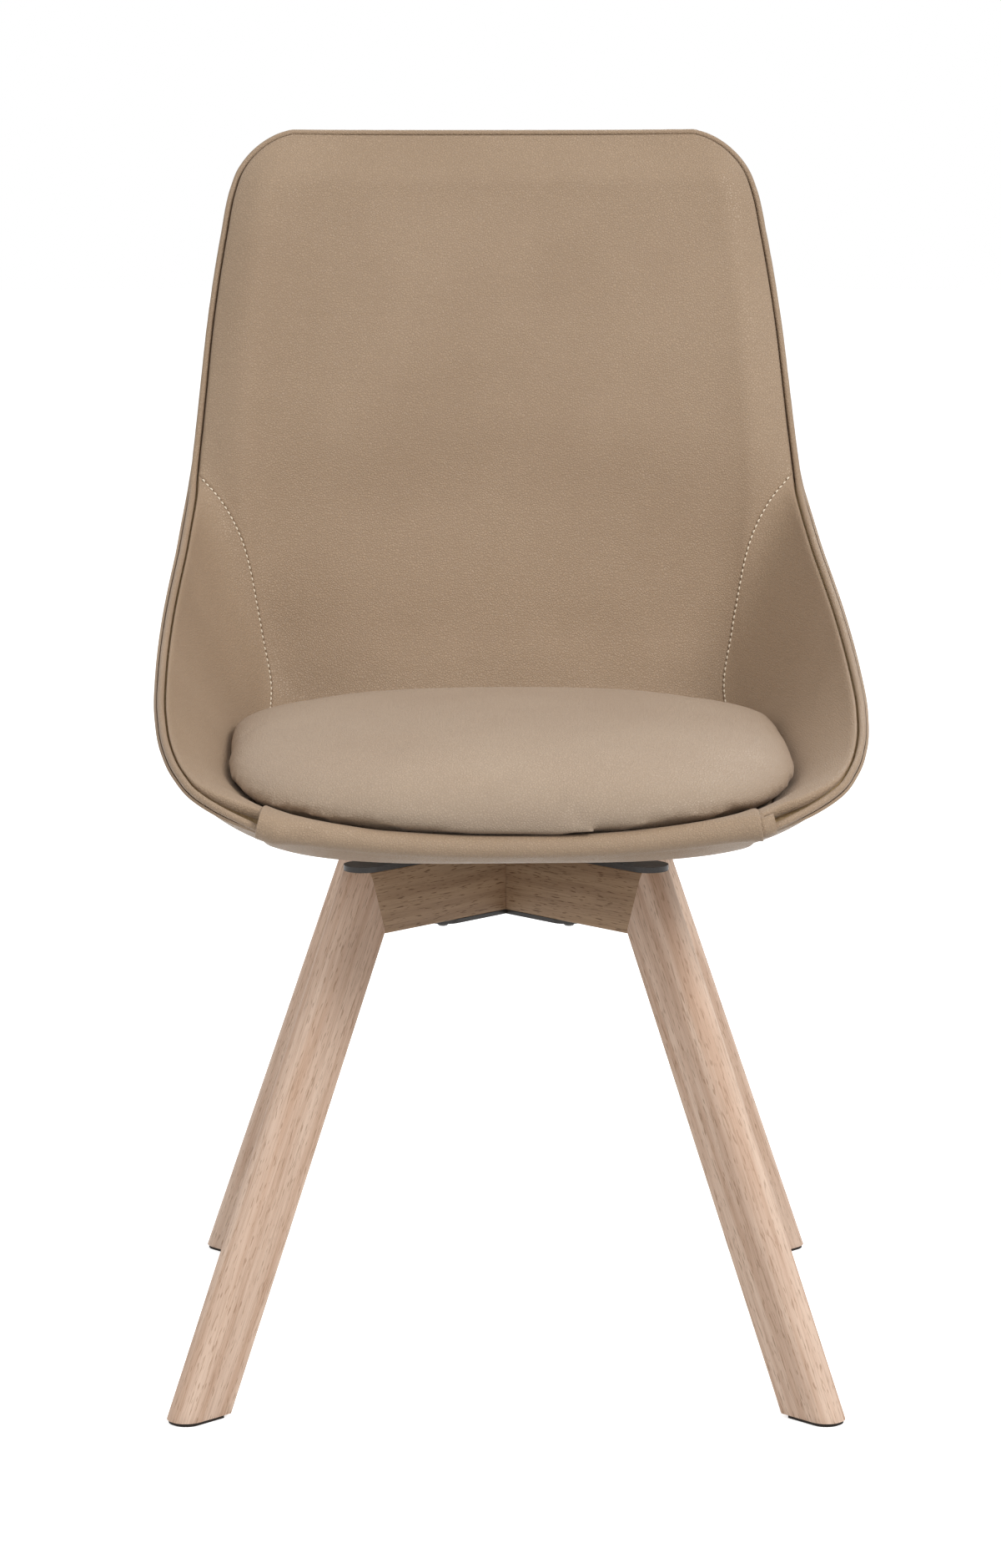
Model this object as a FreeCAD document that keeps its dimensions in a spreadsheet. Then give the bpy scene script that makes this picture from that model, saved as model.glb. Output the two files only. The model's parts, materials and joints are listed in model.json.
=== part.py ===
import FreeCAD, Part
import math
import os
import Sketcher
from FreeCAD import Rotation, Vector

# Swivel dining chair: a padded bucket seat that turns on a ball bearing, over four splayed wooden legs.
# The swivel axis is Z, the floor is Z = 0, and the front of the chair faces -Y. Lengths are in millimetres.

doc = FreeCAD.newDocument("swivel_dining_chair")
sheet = doc.addObject("Spreadsheet::Sheet", "sizes")

DRIVING_SIZES = (
    ("foot_reach", 331, "swivel axis to the outer edge of a foot"),
    ("leg_lean", 25.1, "lean of each leg from upright, in degrees"),
    ("leg_thickness", 28, "width of a leg across its flat sides"),
    ("leg_depth", 40, "depth of a leg, square to its length"),
    ("leg_edge_round", 13, "rounding of the outer long edges of a leg"),
    ("inner_edge_round", 2, "rounding of the inner long edges of a leg"),
    ("heel_round", 9, "rounding of the inner corner of a foot"),
    ("joint_lean", 17, "lean of the glued joint from upright, in degrees"),
    ("foot_pad_thickness", 2.5, "felt and plastic pad under each foot"),
    ("foot_pad_inset", 1.5, "pad edge in from the wood"),
    ("arm_bottom", 325, "floor to the underside of the wooden arms"),
    ("arm_height", 46, "height of a wooden arm"),
    ("centre_bore", 15, "radius of the pocket for the lock nut"),
    ("centre_bore_depth", 24, "depth of that pocket"),
    ("dowel_radius", 4, "radius of a joint dowel"),
    ("dowel_length", 38, "length of a joint dowel"),
    ("dowel_low", 11, "underside of the arm to the lower dowel"),
    ("dowel_spacing", 18, "height between the two dowels of a joint"),
    ("dowel_room", 0.5, "room at each end of a dowel"),
    ("upper_steel", 4, "thickness of the upper cross bracket"),
    ("lower_steel", 3, "thickness of the lower cross plate"),
    ("lower_plate_reach", 77, "swivel axis to an end of the lower cross plate"),
    ("frame_bolt_reach", 65, "swivel axis to a frame bolt"),
    ("frame_bolt_radius", 3, "radius of an M6 frame bolt"),
    ("frame_bolt_head", 5.25, "radius of its button head"),
    ("frame_bolt_head_height", 3.3, "height of its button head"),
    ("frame_nut_radius", 5.77, "corner radius of an M6 nut"),
    ("frame_nut_height", 5, "height of an M6 nut"),
    ("bolt_hole_room", 0.3, "radial room round a bolt in its hole"),
    ("race_radius", 52, "outer radius of the bearing races"),
    ("race_inner_radius", 34, "inner radius of the bearing races"),
    ("race_height", 8, "height of one bearing race"),
    ("race_gap", 4, "gap between the two races"),
    ("ball_radius", 4, "radius of a bearing ball"),
    ("ball_circle", 43, "radius of the circle of balls"),
    ("ball_count", 14, "number of balls"),
    ("running_room", 0.3, "room between pieces that turn on each other"),
    ("cage_thickness", 1.6, "thickness of the ball cage"),
    ("cage_half_width", 6.5, "half the width of the ball cage"),
    ("seat_plate_half", 90, "half the side of the square seat plate"),
    ("seat_plate_thickness", 4, "thickness of the seat plate"),
    ("seat_plate_corner", 14, "corner radius of the seat plate"),
    ("seat_bolt_half_spacing", 72, "swivel axis to a seat bolt, along X and along Y"),
    ("seat_bolt_radius", 3, "radius of an M6 seat bolt"),
    ("seat_bolt_head", 5, "radius of its cap head"),
    ("seat_bolt_head_height", 4, "height of its cap head"),
    ("t_nut_flange", 9, "radius of a T-nut's flange"),
    ("t_nut_flange_thickness", 1.2, "thickness of that flange"),
    ("t_nut_barrel", 4, "outer radius of a T-nut's barrel"),
    ("pin_radius", 5, "radius of the pivot pin"),
    ("pin_head_radius", 14, "radius of the pin's riveted head"),
    ("pin_head_height", 3, "height of that head"),
    ("bush_radius", 8, "outer radius of the pivot bush"),
    ("bush_flange_radius", 12, "radius of the bush's flange on the cross bracket"),
    ("bush_flange_thickness", 1.5, "thickness of that flange"),
    ("bolt_end", 1, "bolt standing out past its nut"),
    ("thread_room", 0.05, "radial room between a plain bolt and its plain nut"),
    ("pin_running_room", 0.08, "radial room round the pivot pin in its bush"),
    ("washer_radius", 11, "outer radius of the pivot washer"),
    ("washer_thickness", 2, "thickness of the pivot washer"),
    ("lock_nut_radius", 9.2, "corner radius of the M10 lock nut"),
    ("lock_nut_height", 10, "height of that lock nut"),
    ("seat_turn", 2.2, "turn of the seat on its base in the rest pose, in degrees"),
    ("layer_gap", 0.3, "room left between neighbouring layers of the seat"),
    ("bucket_front", 250, "swivel axis to the front lip"),
    ("bucket_back", 258, "swivel axis to the top of the back"),
    ("bucket_height", 481, "underside of the seat to the top of the back"),
    ("bucket_half_width", 254.3, "half the width of the bucket at the armrests"),
    ("top_corner", 46, "corner radius of the back's outline"),
    ("cover_thickness", 2, "outer leatherette with its backing"),
    ("shell_thickness", 6, "moulded plywood shell"),
    ("shell_inset", 6, "plywood edge in from the rim"),
    ("rim_padding", 10.6, "whole thickness of the upholstery at the rim"),
    ("deck_padding", 21, "whole thickness of the seat under the cushion"),
    ("lip_padding", 12.5, "whole thickness at the front lip"),
    ("back_padding", 31, "whole thickness of the back"),
    ("pad_inset", 1, "padding's edge in from the rim"),
    ("seam_room", 0.6, "groove on each side of a seam between panels"),
    ("lip_inset", 0.6, "layers' front edge behind the foam of the lip"),
    ("piping_radius", 2.7, "radius of the piping round the rim"),
    ("piping_proud", 0.6, "piping standing out past the rim"),
    ("band_thickness", 1.6, "leatherette band round the front lip"),
    ("band_half_length", 171, "half the length of the band"),
    ("band_tuck", 26, "length of the band on each side of the lip"),
    ("band_room", 0.6, "room between the band and the lip under it"),
    ("cushion_thickness", 45, "seat cushion between its shoulders and the deck"),
    ("cushion_side_room", 53.3, "side of the bucket to the side of the cushion"),
    ("cushion_front_room", 7, "front lip to the cushion's front"),
    ("cushion_back_room", 108, "top of the back to the cushion's back, along Y"),
    ("cushion_middle", 60, "swivel axis to the cushion's widest line, forwards"),
    ("cushion_room", 0.6, "room between the cushion and what is round it"),
)

for row, (alias, number, meaning) in enumerate(DRIVING_SIZES, start=1):
    sheet.set(f"A{row}", meaning)
    sheet.set(f"B{row}", str(number))
    sheet.setAlias(f"B{row}", alias)
doc.recompute()


def size(alias):
    """The number in the sheet under this alias."""
    return float(getattr(sheet, alias))


# Heights and radii that several pieces share, as expressions on the sheet.
ARM_TOP = "(sizes.arm_bottom + sizes.arm_height)"
BRACKET_TOP = f"({ARM_TOP} + sizes.upper_steel)"
LOWER_RACE_TOP = f"({BRACKET_TOP} + sizes.race_height)"
BALL_HEIGHT = f"({LOWER_RACE_TOP} + sizes.race_gap / 2)"
UPPER_RACE_BOTTOM = f"({LOWER_RACE_TOP} + sizes.race_gap)"
SEAT_PLATE_BOTTOM = f"({UPPER_RACE_BOTTOM} + sizes.race_height)"
SEAT_PLATE_TOP = f"({SEAT_PLATE_BOTTOM} + sizes.seat_plate_thickness)"
LEG_SLOPE = "tan(sizes.leg_lean)"
LEG_WIDTH = "(sizes.leg_depth / cos(sizes.leg_lean))"
LEG_TOP_REACH = f"(sizes.foot_reach - ({ARM_TOP} - sizes.foot_pad_thickness) * {LEG_SLOPE})"
HEEL_REACH = f"(sizes.foot_reach - {LEG_WIDTH})"
CROTCH_REACH = f"({HEEL_REACH} - (sizes.arm_bottom - sizes.foot_pad_thickness) * {LEG_SLOPE})"
JOINT_TOP_REACH = f"({CROTCH_REACH} + sizes.arm_height * tan(sizes.joint_lean))"
HALF_LEG = "(sizes.leg_thickness / 2)"
DOWEL_CENTRE = f"(({CROTCH_REACH} + {JOINT_TOP_REACH}) / 2)"
FRAME_HOLE = "(sizes.frame_bolt_radius + sizes.bolt_hole_room)"
SEAT_HOLE = "(sizes.seat_bolt_radius + sizes.bolt_hole_room)"

# The four legs stand on the diagonals. A corner's name goes with the turn of its leg about Z, in degrees.
CORNERS = (("front_left", 225), ("front_right", 315), ("rear_right", 45), ("rear_left", 135))

parts = []


def keep(piece, label):
    """Give a finished piece its name and put it on the list of pieces to write."""
    piece.Label = label
    parts.append(piece)
    return piece


def new_body(name, turn=0.0):
    """An empty body, turned about the swivel axis."""
    body = doc.addObject("PartDesign::Body", name)
    body.Placement = FreeCAD.Placement(Vector(0, 0, 0), Rotation(Vector(0, 0, 1), turn))
    return body


def new_sketch(body, name, plane, offset=None):
    """A sketch on one of the body's own origin planes, moved along the plane's normal by an expression."""
    sketch = body.newObject("Sketcher::SketchObject", name)
    support = [item for item in body.Origin.OriginFeatures if item.Role == plane][0]
    sketch.AttachmentSupport = [(support, "")]
    sketch.MapMode = "FlatFace"
    if offset is not None:
        sketch.setExpression("AttachmentOffset.Base.z", offset)
    return sketch


def evaluate(owner, expression):
    """The number that an expression on the sheet gives now."""
    return float(owner.evalExpression(expression))


def add_polygon(sketch, corners):
    """A closed outline with each corner held at its own pair of expressions."""
    first = sketch.GeometryCount
    places = [Vector(evaluate(sketch, x), evaluate(sketch, y), 0) for x, y in corners]
    for start, end in zip(places, places[1:] + places[:1]):
        sketch.addGeometry(Part.LineSegment(start, end), False)
    count = len(corners)
    for step in range(count):
        following = (step + 1) % count
        sketch.addConstraint(Sketcher.Constraint("Coincident", first + step, 2, first + following, 1))
    for step, (x, y) in enumerate(corners):
        for kind, expression, place in (("DistanceX", x, places[step].x), ("DistanceY", y, places[step].y)):
            index = sketch.addConstraint(Sketcher.Constraint(kind, -1, 1, first + step, 1, place))
            sketch.setExpression(f"Constraints[{index}]", expression)


def add_circle(sketch, x, y, radius):
    """A circle with its centre and radius held by expressions."""
    centre = Vector(evaluate(sketch, x), evaluate(sketch, y), 0)
    item = sketch.addGeometry(Part.Circle(centre, Vector(0, 0, 1), evaluate(sketch, radius)), False)
    for kind, expression, place in (("DistanceX", x, centre.x), ("DistanceY", y, centre.y)):
        index = sketch.addConstraint(Sketcher.Constraint(kind, -1, 1, item, 3, place))
        sketch.setExpression(f"Constraints[{index}]", expression)
    index = sketch.addConstraint(Sketcher.Constraint("Radius", item, evaluate(sketch, radius)))
    sketch.setExpression(f"Constraints[{index}]", radius)


def add_pad(body, name, sketch, length, midplane=False):
    """Thicken a sketch along its plane's normal."""
    pad = body.newObject("PartDesign::Pad", name)
    pad.Profile = sketch
    pad.Midplane = midplane
    pad.setExpression("Length", length)
    doc.recompute()
    return pad


def add_pocket(body, name, sketch, depth=None):
    """Cut a sketch down to a depth, or right through both ways where no depth is given."""
    pocket = body.newObject("PartDesign::Pocket", name)
    pocket.Profile = sketch
    if depth is None:
        pocket.Midplane = True
        pocket.Type = "ThroughAll"
    else:
        pocket.setExpression("Length", depth)
    doc.recompute()
    return pocket


def add_turning(body, kind, name, sketch, axis):
    """Revolve a sketch about the swivel axis, or about the sketch's own construction line."""
    turning = body.newObject(f"PartDesign::{kind}", name)
    turning.Profile = sketch
    turning.ReferenceAxis = (sketch, [axis])
    turning.Angle = 360
    doc.recompute()
    return turning


def add_fillet(body, name, base, radius, wanted):
    """Round the edges of a feature that a test picks out."""
    names = [f"Edge{index}" for index, edge in enumerate(base.Shape.Edges, start=1) if wanted(edge)]
    fillet = body.newObject("PartDesign::Fillet", name)
    fillet.Base = (base, names)
    fillet.setExpression("Radius", radius)
    doc.recompute()
    return fillet


def add_polar(body, name, originals, count):
    """Repeat features round the swivel axis."""
    axis = [item for item in body.Origin.OriginFeatures if item.Role == "Z_Axis"][0]
    pattern = body.newObject("PartDesign::PolarPattern", name)
    pattern.Originals = originals
    pattern.Axis = (axis, [""])
    pattern.Angle = 360
    pattern.setExpression("Occurrences", count)
    body.Tip = pattern
    doc.recompute()
    return pattern


def along(edge, direction):
    """True for a straight edge in this direction."""
    if edge.Curve.TypeId != "Part::GeomLine":
        return False
    run = edge.Vertexes[-1].Point - edge.Vertexes[0].Point
    return abs(run.normalize().dot(direction)) > 0.999


# The wooden legs. Each is drawn in its own diagonal plane, where X runs outwards and Y runs up.
def make_leg(corner, turn):
    """A leg with a rounded back edge, a rounded heel and two blind dowel holes."""
    body = new_body(f"leg_{corner}", turn)
    side = new_sketch(body, "leg_side", "XZ_Plane")
    add_polygon(side, (
        ("sizes.foot_reach", "sizes.foot_pad_thickness"),
        (LEG_TOP_REACH, ARM_TOP),
        (JOINT_TOP_REACH, ARM_TOP),
        (CROTCH_REACH, "sizes.arm_bottom"),
        (HEEL_REACH, "sizes.foot_pad_thickness"),
    ))
    blank = add_pad(body, "leg_blank", side, "sizes.leg_thickness", midplane=True)
    lean = math.radians(size("leg_lean"))
    run = Vector(-math.sin(lean), 0, math.cos(lean))
    middle = evaluate(body, f"({HEEL_REACH} + {CROTCH_REACH} + {LEG_WIDTH}) / 2")

    def outer_edge(edge):
        return along(edge, run) and edge.CenterOfMass.x > middle

    def heel_edge(edge):
        low = edge.CenterOfMass.z < size("foot_pad_thickness") + 1
        return along(edge, Vector(0, 1, 0)) and low and edge.CenterOfMass.x < size("foot_reach") - 1

    def inner_edge(edge):
        return along(edge, run) and edge.CenterOfMass.x < middle

    rounded = add_fillet(body, "back_edges", blank, "sizes.leg_edge_round", outer_edge)
    heeled = add_fillet(body, "heel", rounded, "sizes.heel_round", heel_edge)
    eased = add_fillet(body, "inner_edges", heeled, "sizes.inner_edge_round", inner_edge)
    holes = new_sketch(body, "dowel_holes", "YZ_Plane", DOWEL_CENTRE)
    add_dowel_circles(holes)
    drilled = body.newObject("PartDesign::Pocket", "dowel_bores")
    drilled.Profile = holes
    drilled.Midplane = True
    drilled.setExpression("Length", "sizes.dowel_length + 2 * sizes.dowel_room")
    doc.recompute()
    return keep(body, f"leg_{corner}")


def add_dowel_circles(sketch):
    """The two dowels of one joint, one above the other."""
    low = "sizes.arm_bottom + sizes.dowel_low"
    add_circle(sketch, "0", low, "sizes.dowel_radius")
    add_circle(sketch, "0", f"{low} + sizes.dowel_spacing", "sizes.dowel_radius")


def make_arm(corner, turn):
    """A wooden arm, pointed at the centre where four arms meet, with its share of the lock nut's pocket."""
    body = new_body(f"arm_{corner}", turn)
    side = new_sketch(body, "arm_side", "XZ_Plane")
    add_polygon(side, (
        ("0", "sizes.arm_bottom"),
        (CROTCH_REACH, "sizes.arm_bottom"),
        (JOINT_TOP_REACH, ARM_TOP),
        ("0", ARM_TOP),
    ))
    add_pad(body, "arm_blank", side, "sizes.leg_thickness", midplane=True)
    mitre = new_sketch(body, "mitre", "XY_Plane", "sizes.arm_bottom")
    add_polygon(mitre, (
        (f"-{HALF_LEG}", f"-{HALF_LEG}"),
        (HALF_LEG, f"-{HALF_LEG}"),
        ("0", "0"),
        (HALF_LEG, HALF_LEG),
        (f"-{HALF_LEG}", HALF_LEG),
    ))
    add_pocket(body, "mitre_cut", mitre)
    top = new_sketch(body, "centre_pocket", "XY_Plane", ARM_TOP)
    add_circle(top, "0", "0", "sizes.centre_bore")
    add_pocket(body, "centre_pocket_cut", top, "sizes.centre_bore_depth")
    bolt = new_sketch(body, "bolt_hole", "XY_Plane", ARM_TOP)
    add_circle(bolt, "sizes.frame_bolt_reach", "0", FRAME_HOLE)
    add_pocket(body, "bolt_hole_cut", bolt)
    holes = new_sketch(body, "dowel_holes", "YZ_Plane", DOWEL_CENTRE)
    add_dowel_circles(holes)
    drilled = body.newObject("PartDesign::Pocket", "dowel_bores")
    drilled.Profile = holes
    drilled.Midplane = True
    drilled.setExpression("Length", "sizes.dowel_length + 2 * sizes.dowel_room")
    doc.recompute()
    return keep(body, f"arm_{corner}")


def make_foot_pad(corner, turn):
    """A thin pad with a round toe, inset from the wood and ending where the heel starts to curve up."""
    body = new_body(f"foot_pad_{corner}", turn)
    heel = f"({HEEL_REACH} + sizes.heel_round / tan(45 + sizes.leg_lean / 2) + sizes.foot_pad_inset / 2)"
    toe = "(sizes.foot_reach - sizes.foot_pad_inset)"
    half = f"({HALF_LEG} - sizes.foot_pad_inset)"
    outline = new_sketch(body, "pad_outline", "XY_Plane")
    add_polygon(outline, ((heel, f"-{half}"), (toe, f"-{half}"), (toe, half), (heel, half)))
    blank = add_pad(body, "pad_blank", outline, "sizes.foot_pad_thickness")

    def toe_edge(edge):
        return along(edge, Vector(0, 0, 1)) and edge.CenterOfMass.x > size("foot_reach") - 5

    add_fillet(body, "round_toe", blank, "sizes.leg_edge_round - sizes.foot_pad_inset", toe_edge)
    return keep(body, f"foot_pad_{corner}")


def make_dowels():
    """The eight dowels of the four glued joints, as one group."""
    body = new_body("joint_dowels", CORNERS[2][1])
    body.AllowCompound = True
    ends = new_sketch(body, "dowel_ends", "YZ_Plane", DOWEL_CENTRE)
    add_dowel_circles(ends)
    pair = add_pad(body, "dowel_pair", ends, "sizes.dowel_length", midplane=True)
    add_polar(body, "four_joints", [pair], "4")
    return keep(body, "joint_dowels")


# The steel under the seat.
def make_cross_plate(name, bottom, thickness, reach, centre_hole):
    """A flat steel cross with round ends, bolted through every arm."""
    body = new_body(name, CORNERS[2][1])
    body.AllowCompound = True
    bar = new_sketch(body, "bar", "XY_Plane", bottom)
    straight = f"({reach} - {HALF_LEG})"
    add_polygon(bar, (
        ("0", f"-{HALF_LEG}"),
        (straight, f"-{HALF_LEG}"),
        (straight, HALF_LEG),
        ("0", HALF_LEG),
    ))
    first = add_pad(body, "bar_pad", bar, thickness)
    tip = new_sketch(body, "tip", "XY_Plane", bottom)
    add_circle(tip, straight, "0", HALF_LEG)
    second = add_pad(body, "tip_pad", tip, thickness)
    cross = add_polar(body, "cross", [first, second], "4")
    bolt = new_sketch(body, "bolt_hole", "XY_Plane", f"{bottom} + {thickness}")
    add_circle(bolt, "sizes.frame_bolt_reach", "0", FRAME_HOLE)
    hole = add_pocket(body, "bolt_hole_cut", bolt)
    add_polar(body, "bolt_holes", [hole], "4")
    if centre_hole is not None:
        middle = new_sketch(body, "centre_hole", "XY_Plane", f"{bottom} + {thickness}")
        add_circle(middle, "0", "0", centre_hole)
        add_pocket(body, "centre_hole_cut", middle)
    return keep(body, name)


def make_turned(name, outline, seat_piece=False):
    """A piece turned about the swivel axis from pairs of radius and height."""
    body = new_body(name)
    if seat_piece:
        follow_seat(body)
    half = new_sketch(body, "half_section", "XZ_Plane")
    add_polygon(half, outline)
    add_turning(body, "Revolution", "turned", half, "V_Axis")
    return keep(body, name)


def follow_seat(piece):
    """Turn a piece of the seat by the seat's own angle in the rest pose."""
    piece.Placement = FreeCAD.Placement(Vector(0, 0, 0), Rotation(Vector(0, 0, 1), size("seat_turn")))
    piece.setExpression("Placement.Rotation.Angle", "sizes.seat_turn")


AXIS_MARK = 10


def make_bolt_group(name, reach_x, reach_y, outline, seat_piece):
    """Four equal bolts, each turned about its own upright line, repeated round the swivel axis."""
    body = new_body(name, 0 if seat_piece else CORNERS[2][1])
    body.AllowCompound = True
    if seat_piece:
        follow_seat(body)
    half = new_sketch(body, "half_section", "XZ_Plane", f"-({reach_y})")
    add_polygon(half, [(f"{reach_x} + {radius}", height) for radius, height in outline])
    count = half.GeometryCount
    middle = evaluate(half, reach_x)
    line = half.addGeometry(Part.LineSegment(Vector(middle, 0, 0), Vector(middle, AXIS_MARK, 0)), True)
    for point, height in ((1, 0), (2, AXIS_MARK)):
        index = half.addConstraint(Sketcher.Constraint("DistanceX", -1, 1, line, point, middle))
        half.setExpression(f"Constraints[{index}]", reach_x)
        half.addConstraint(Sketcher.Constraint("DistanceY", -1, 1, line, point, height))
    bolt = add_turning(body, "Revolution", "bolt", half, "Axis0")
    add_polar(body, "four_bolts", [bolt], "4")
    return keep(body, name)


def make_hexagons(name, reach, corner_radius, bottom, height, hole, count, seat_piece=False):
    """Hexagonal nuts with a plain hole, one at the centre or several round the swivel axis."""
    body = new_body(name, CORNERS[2][1])
    body.AllowCompound = True
    if seat_piece:
        follow_seat(body)
    outline = new_sketch(body, "nut_outline", "XY_Plane", bottom)
    corners = []
    for step in range(6):
        corners.append((
            f"{reach} + {corner_radius} * cos({60 * step})",
            f"{corner_radius} * sin({60 * step})",
        ))
    add_polygon(outline, corners)
    add_circle(outline, reach, "0", hole)
    nut = add_pad(body, "nut", outline, height)
    if count > 1:
        add_polar(body, "nuts", [nut], str(count))
    return keep(body, name)


def make_race(name, bottom, top, turns_with_seat):
    """A bearing race: a steel ring with a round groove for the balls, which run between two such rings."""
    body = new_body(name)
    if turns_with_seat:
        follow_seat(body)
    ring = new_sketch(body, "ring_section", "XZ_Plane")
    add_polygon(ring, (
        ("sizes.race_inner_radius", bottom),
        ("sizes.race_radius", bottom),
        ("sizes.race_radius", top),
        ("sizes.race_inner_radius", top),
    ))
    add_turning(body, "Revolution", "ring", ring, "V_Axis")
    track = new_sketch(body, "track_section", "XZ_Plane")
    add_circle(track, "sizes.ball_circle", BALL_HEIGHT, "sizes.ball_radius + sizes.running_room")
    add_turning(body, "Groove", "track", track, "V_Axis")
    return keep(body, name)


def make_cage():
    """The flat ring that keeps the balls apart, with a pocket for each ball."""
    body = new_body("ball_cage")
    bottom = f"({BALL_HEIGHT} - sizes.cage_thickness / 2)"
    ring = new_sketch(body, "cage_outline", "XY_Plane", bottom)
    add_circle(ring, "0", "0", "sizes.ball_circle + sizes.cage_half_width")
    add_circle(ring, "0", "0", "sizes.ball_circle - sizes.cage_half_width")
    add_pad(body, "cage_blank", ring, "sizes.cage_thickness")
    pocket = new_sketch(body, "ball_pocket", "XY_Plane", f"{bottom} + sizes.cage_thickness")
    add_circle(pocket, "sizes.ball_circle", "0", "sizes.ball_radius + sizes.running_room")
    first = add_pocket(body, "first_pocket", pocket)
    add_polar(body, "pockets", [first], "sizes.ball_count")
    return keep(body, "ball_cage")


def make_balls():
    """The bearing balls, one in each pocket of the cage."""
    body = new_body("bearing_balls")
    body.AllowCompound = True
    ball = body.newObject("PartDesign::AdditiveSphere", "ball")
    ball.setExpression("Radius", "sizes.ball_radius")
    ball.setExpression("Placement.Base.x", "sizes.ball_circle")
    ball.setExpression("Placement.Base.z", BALL_HEIGHT)
    doc.recompute()
    add_polar(body, "balls", [ball], "sizes.ball_count")
    return keep(body, "bearing_balls")


def make_seat_plate():
    """The square plate that carries the bucket, with a hole near each corner."""
    body = new_body("seat_plate")
    follow_seat(body)
    half = "sizes.seat_plate_half"
    outline = new_sketch(body, "plate_outline", "XY_Plane", SEAT_PLATE_BOTTOM)
    add_polygon(outline, ((f"-{half}", f"-{half}"), (half, f"-{half}"), (half, half), (f"-{half}", half)))
    blank = add_pad(body, "plate_blank", outline, "sizes.seat_plate_thickness")
    add_fillet(body, "corners", blank, "sizes.seat_plate_corner", lambda edge: along(edge, Vector(0, 0, 1)))
    holes = new_sketch(body, "bolt_hole", "XY_Plane", SEAT_PLATE_TOP)
    add_circle(holes, "sizes.seat_bolt_half_spacing", "sizes.seat_bolt_half_spacing", SEAT_HOLE)
    hole = add_pocket(body, "bolt_hole_cut", holes)
    add_polar(body, "bolt_holes", [hole], "4")
    return keep(body, "seat_plate")


# The bucket. Its outer face is a surface S(across, up): across runs from -1 at the left rim to 1 at the right
# rim, and up runs from 0 at the front lip, along the seat and up the back, to 1 at the top edge.
# A station gives where the middle and the rim of the bucket lie in side view, and how wide it is there.
# Y is a share of the bucket's reach to the front or back, height a share of its height and width a share of
# its half width. flat is the share of the width that stays flat, power is how sharply the sides then rise,
# and padding runs from 0, the seat under the cushion, to 1, the middle of the back.
STATIONS = (
    # middle y, middle height, rim y, rim height, width, flat, power, padding
    (-0.964, 0.017, -0.944, 0.043, 0.674, 0.00, 2.0, 0.00),
    (-0.928, 0.008, -0.908, 0.067, 0.797, 0.10, 2.4, 0.00),
    (-0.872, 0.002, -0.848, 0.090, 0.884, 0.25, 2.6, 0.00),
    (-0.784, 0.000, -0.768, 0.113, 0.934, 0.40, 2.8, 0.00),
    (-0.640, 0.000, -0.648, 0.140, 0.971, 0.45, 3.0, 0.00),
    (-0.420, 0.000, -0.456, 0.178, 0.995, 0.50, 3.2, 0.00),
    (-0.160, 0.000, -0.264, 0.214, 1.000, 0.50, 3.4, 0.00),
    (0.136, 0.000, -0.072, 0.252, 0.997, 0.50, 3.6, 0.00),
    (0.388, 0.000, 0.116, 0.293, 0.987, 0.48, 3.9, 0.10),
    (0.581, 0.025, 0.271, 0.328, 0.974, 0.45, 4.3, 0.50),
    (0.713, 0.085, 0.419, 0.364, 0.959, 0.42, 4.8, 0.90),
    (0.775, 0.183, 0.547, 0.397, 0.948, 0.40, 5.2, 1.00),
    (0.810, 0.301, 0.651, 0.428, 0.937, 0.36, 5.2, 1.00),
    (0.841, 0.416, 0.725, 0.453, 0.929, 0.30, 4.8, 1.00),
    (0.860, 0.509, 0.767, 0.499, 0.915, 0.27, 4.2, 1.00),
    (0.884, 0.603, 0.806, 0.599, 0.891, 0.24, 3.6, 0.90),
    (0.915, 0.717, 0.857, 0.713, 0.863, 0.20, 3.2, 0.75),
    (0.950, 0.842, 0.907, 0.840, 0.822, 0.15, 3.0, 0.50),
    (0.973, 0.911, 0.938, 0.909, 0.793, 0.12, 2.8, 0.40),
)
CORNER_ANGLES = (20, 38, 54, 68, 78)
TOP_RIM_STEP = 1.0
SPREAD = 1.45
PILLOW_SHARE = 0.22
TOP_PILLOW = 30.0
LIP_SIDE_EXTRA = 4.5
LIP_STATION_INDEX = 3


def scaled_station(row):
    """A station in millimetres, from the shares in its row."""
    middle_y, middle_z, rim_y, rim_z, width, flat, power, padding = row
    reach = [y * (size("bucket_front") if y < 0 else size("bucket_back")) for y in (middle_y, rim_y)]
    height = size("bucket_height")
    half = width * size("bucket_half_width")
    return [reach[0], middle_z * height, reach[1], rim_z * height, half, flat, power, padding]


def bucket_stations():
    """All stations, with the round top corners added: the half width runs in along an arc that ends just
    short of level, so that the sides still meet the top edge at an angle."""
    rows = [scaled_station(row) for row in STATIONS]
    before, last = rows[-2], rows[-1]
    narrowing = (last[4] - before[4]) / (last[3] - before[3])
    top = size("bucket_height")
    start = top - size("top_corner") * math.sin(math.radians(CORNER_ANGLES[-1]))
    for angle in CORNER_ANGLES:
        turn = math.radians(angle)
        height = start + size("top_corner") * math.sin(turn)
        share = (height - last[3]) / (top - last[3])
        half = last[4] + narrowing * (height - last[3]) - size("top_corner") * (1 - math.cos(turn))
        middle_y = last[0] + share * (size("bucket_back") - last[0])
        rim_y = last[2] + share * (size("bucket_back") - TOP_RIM_STEP - last[2])
        rows.append([middle_y, height, rim_y, height, half, last[5], last[6], last[7]])
    return rows


ROWS = bucket_stations()


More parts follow.
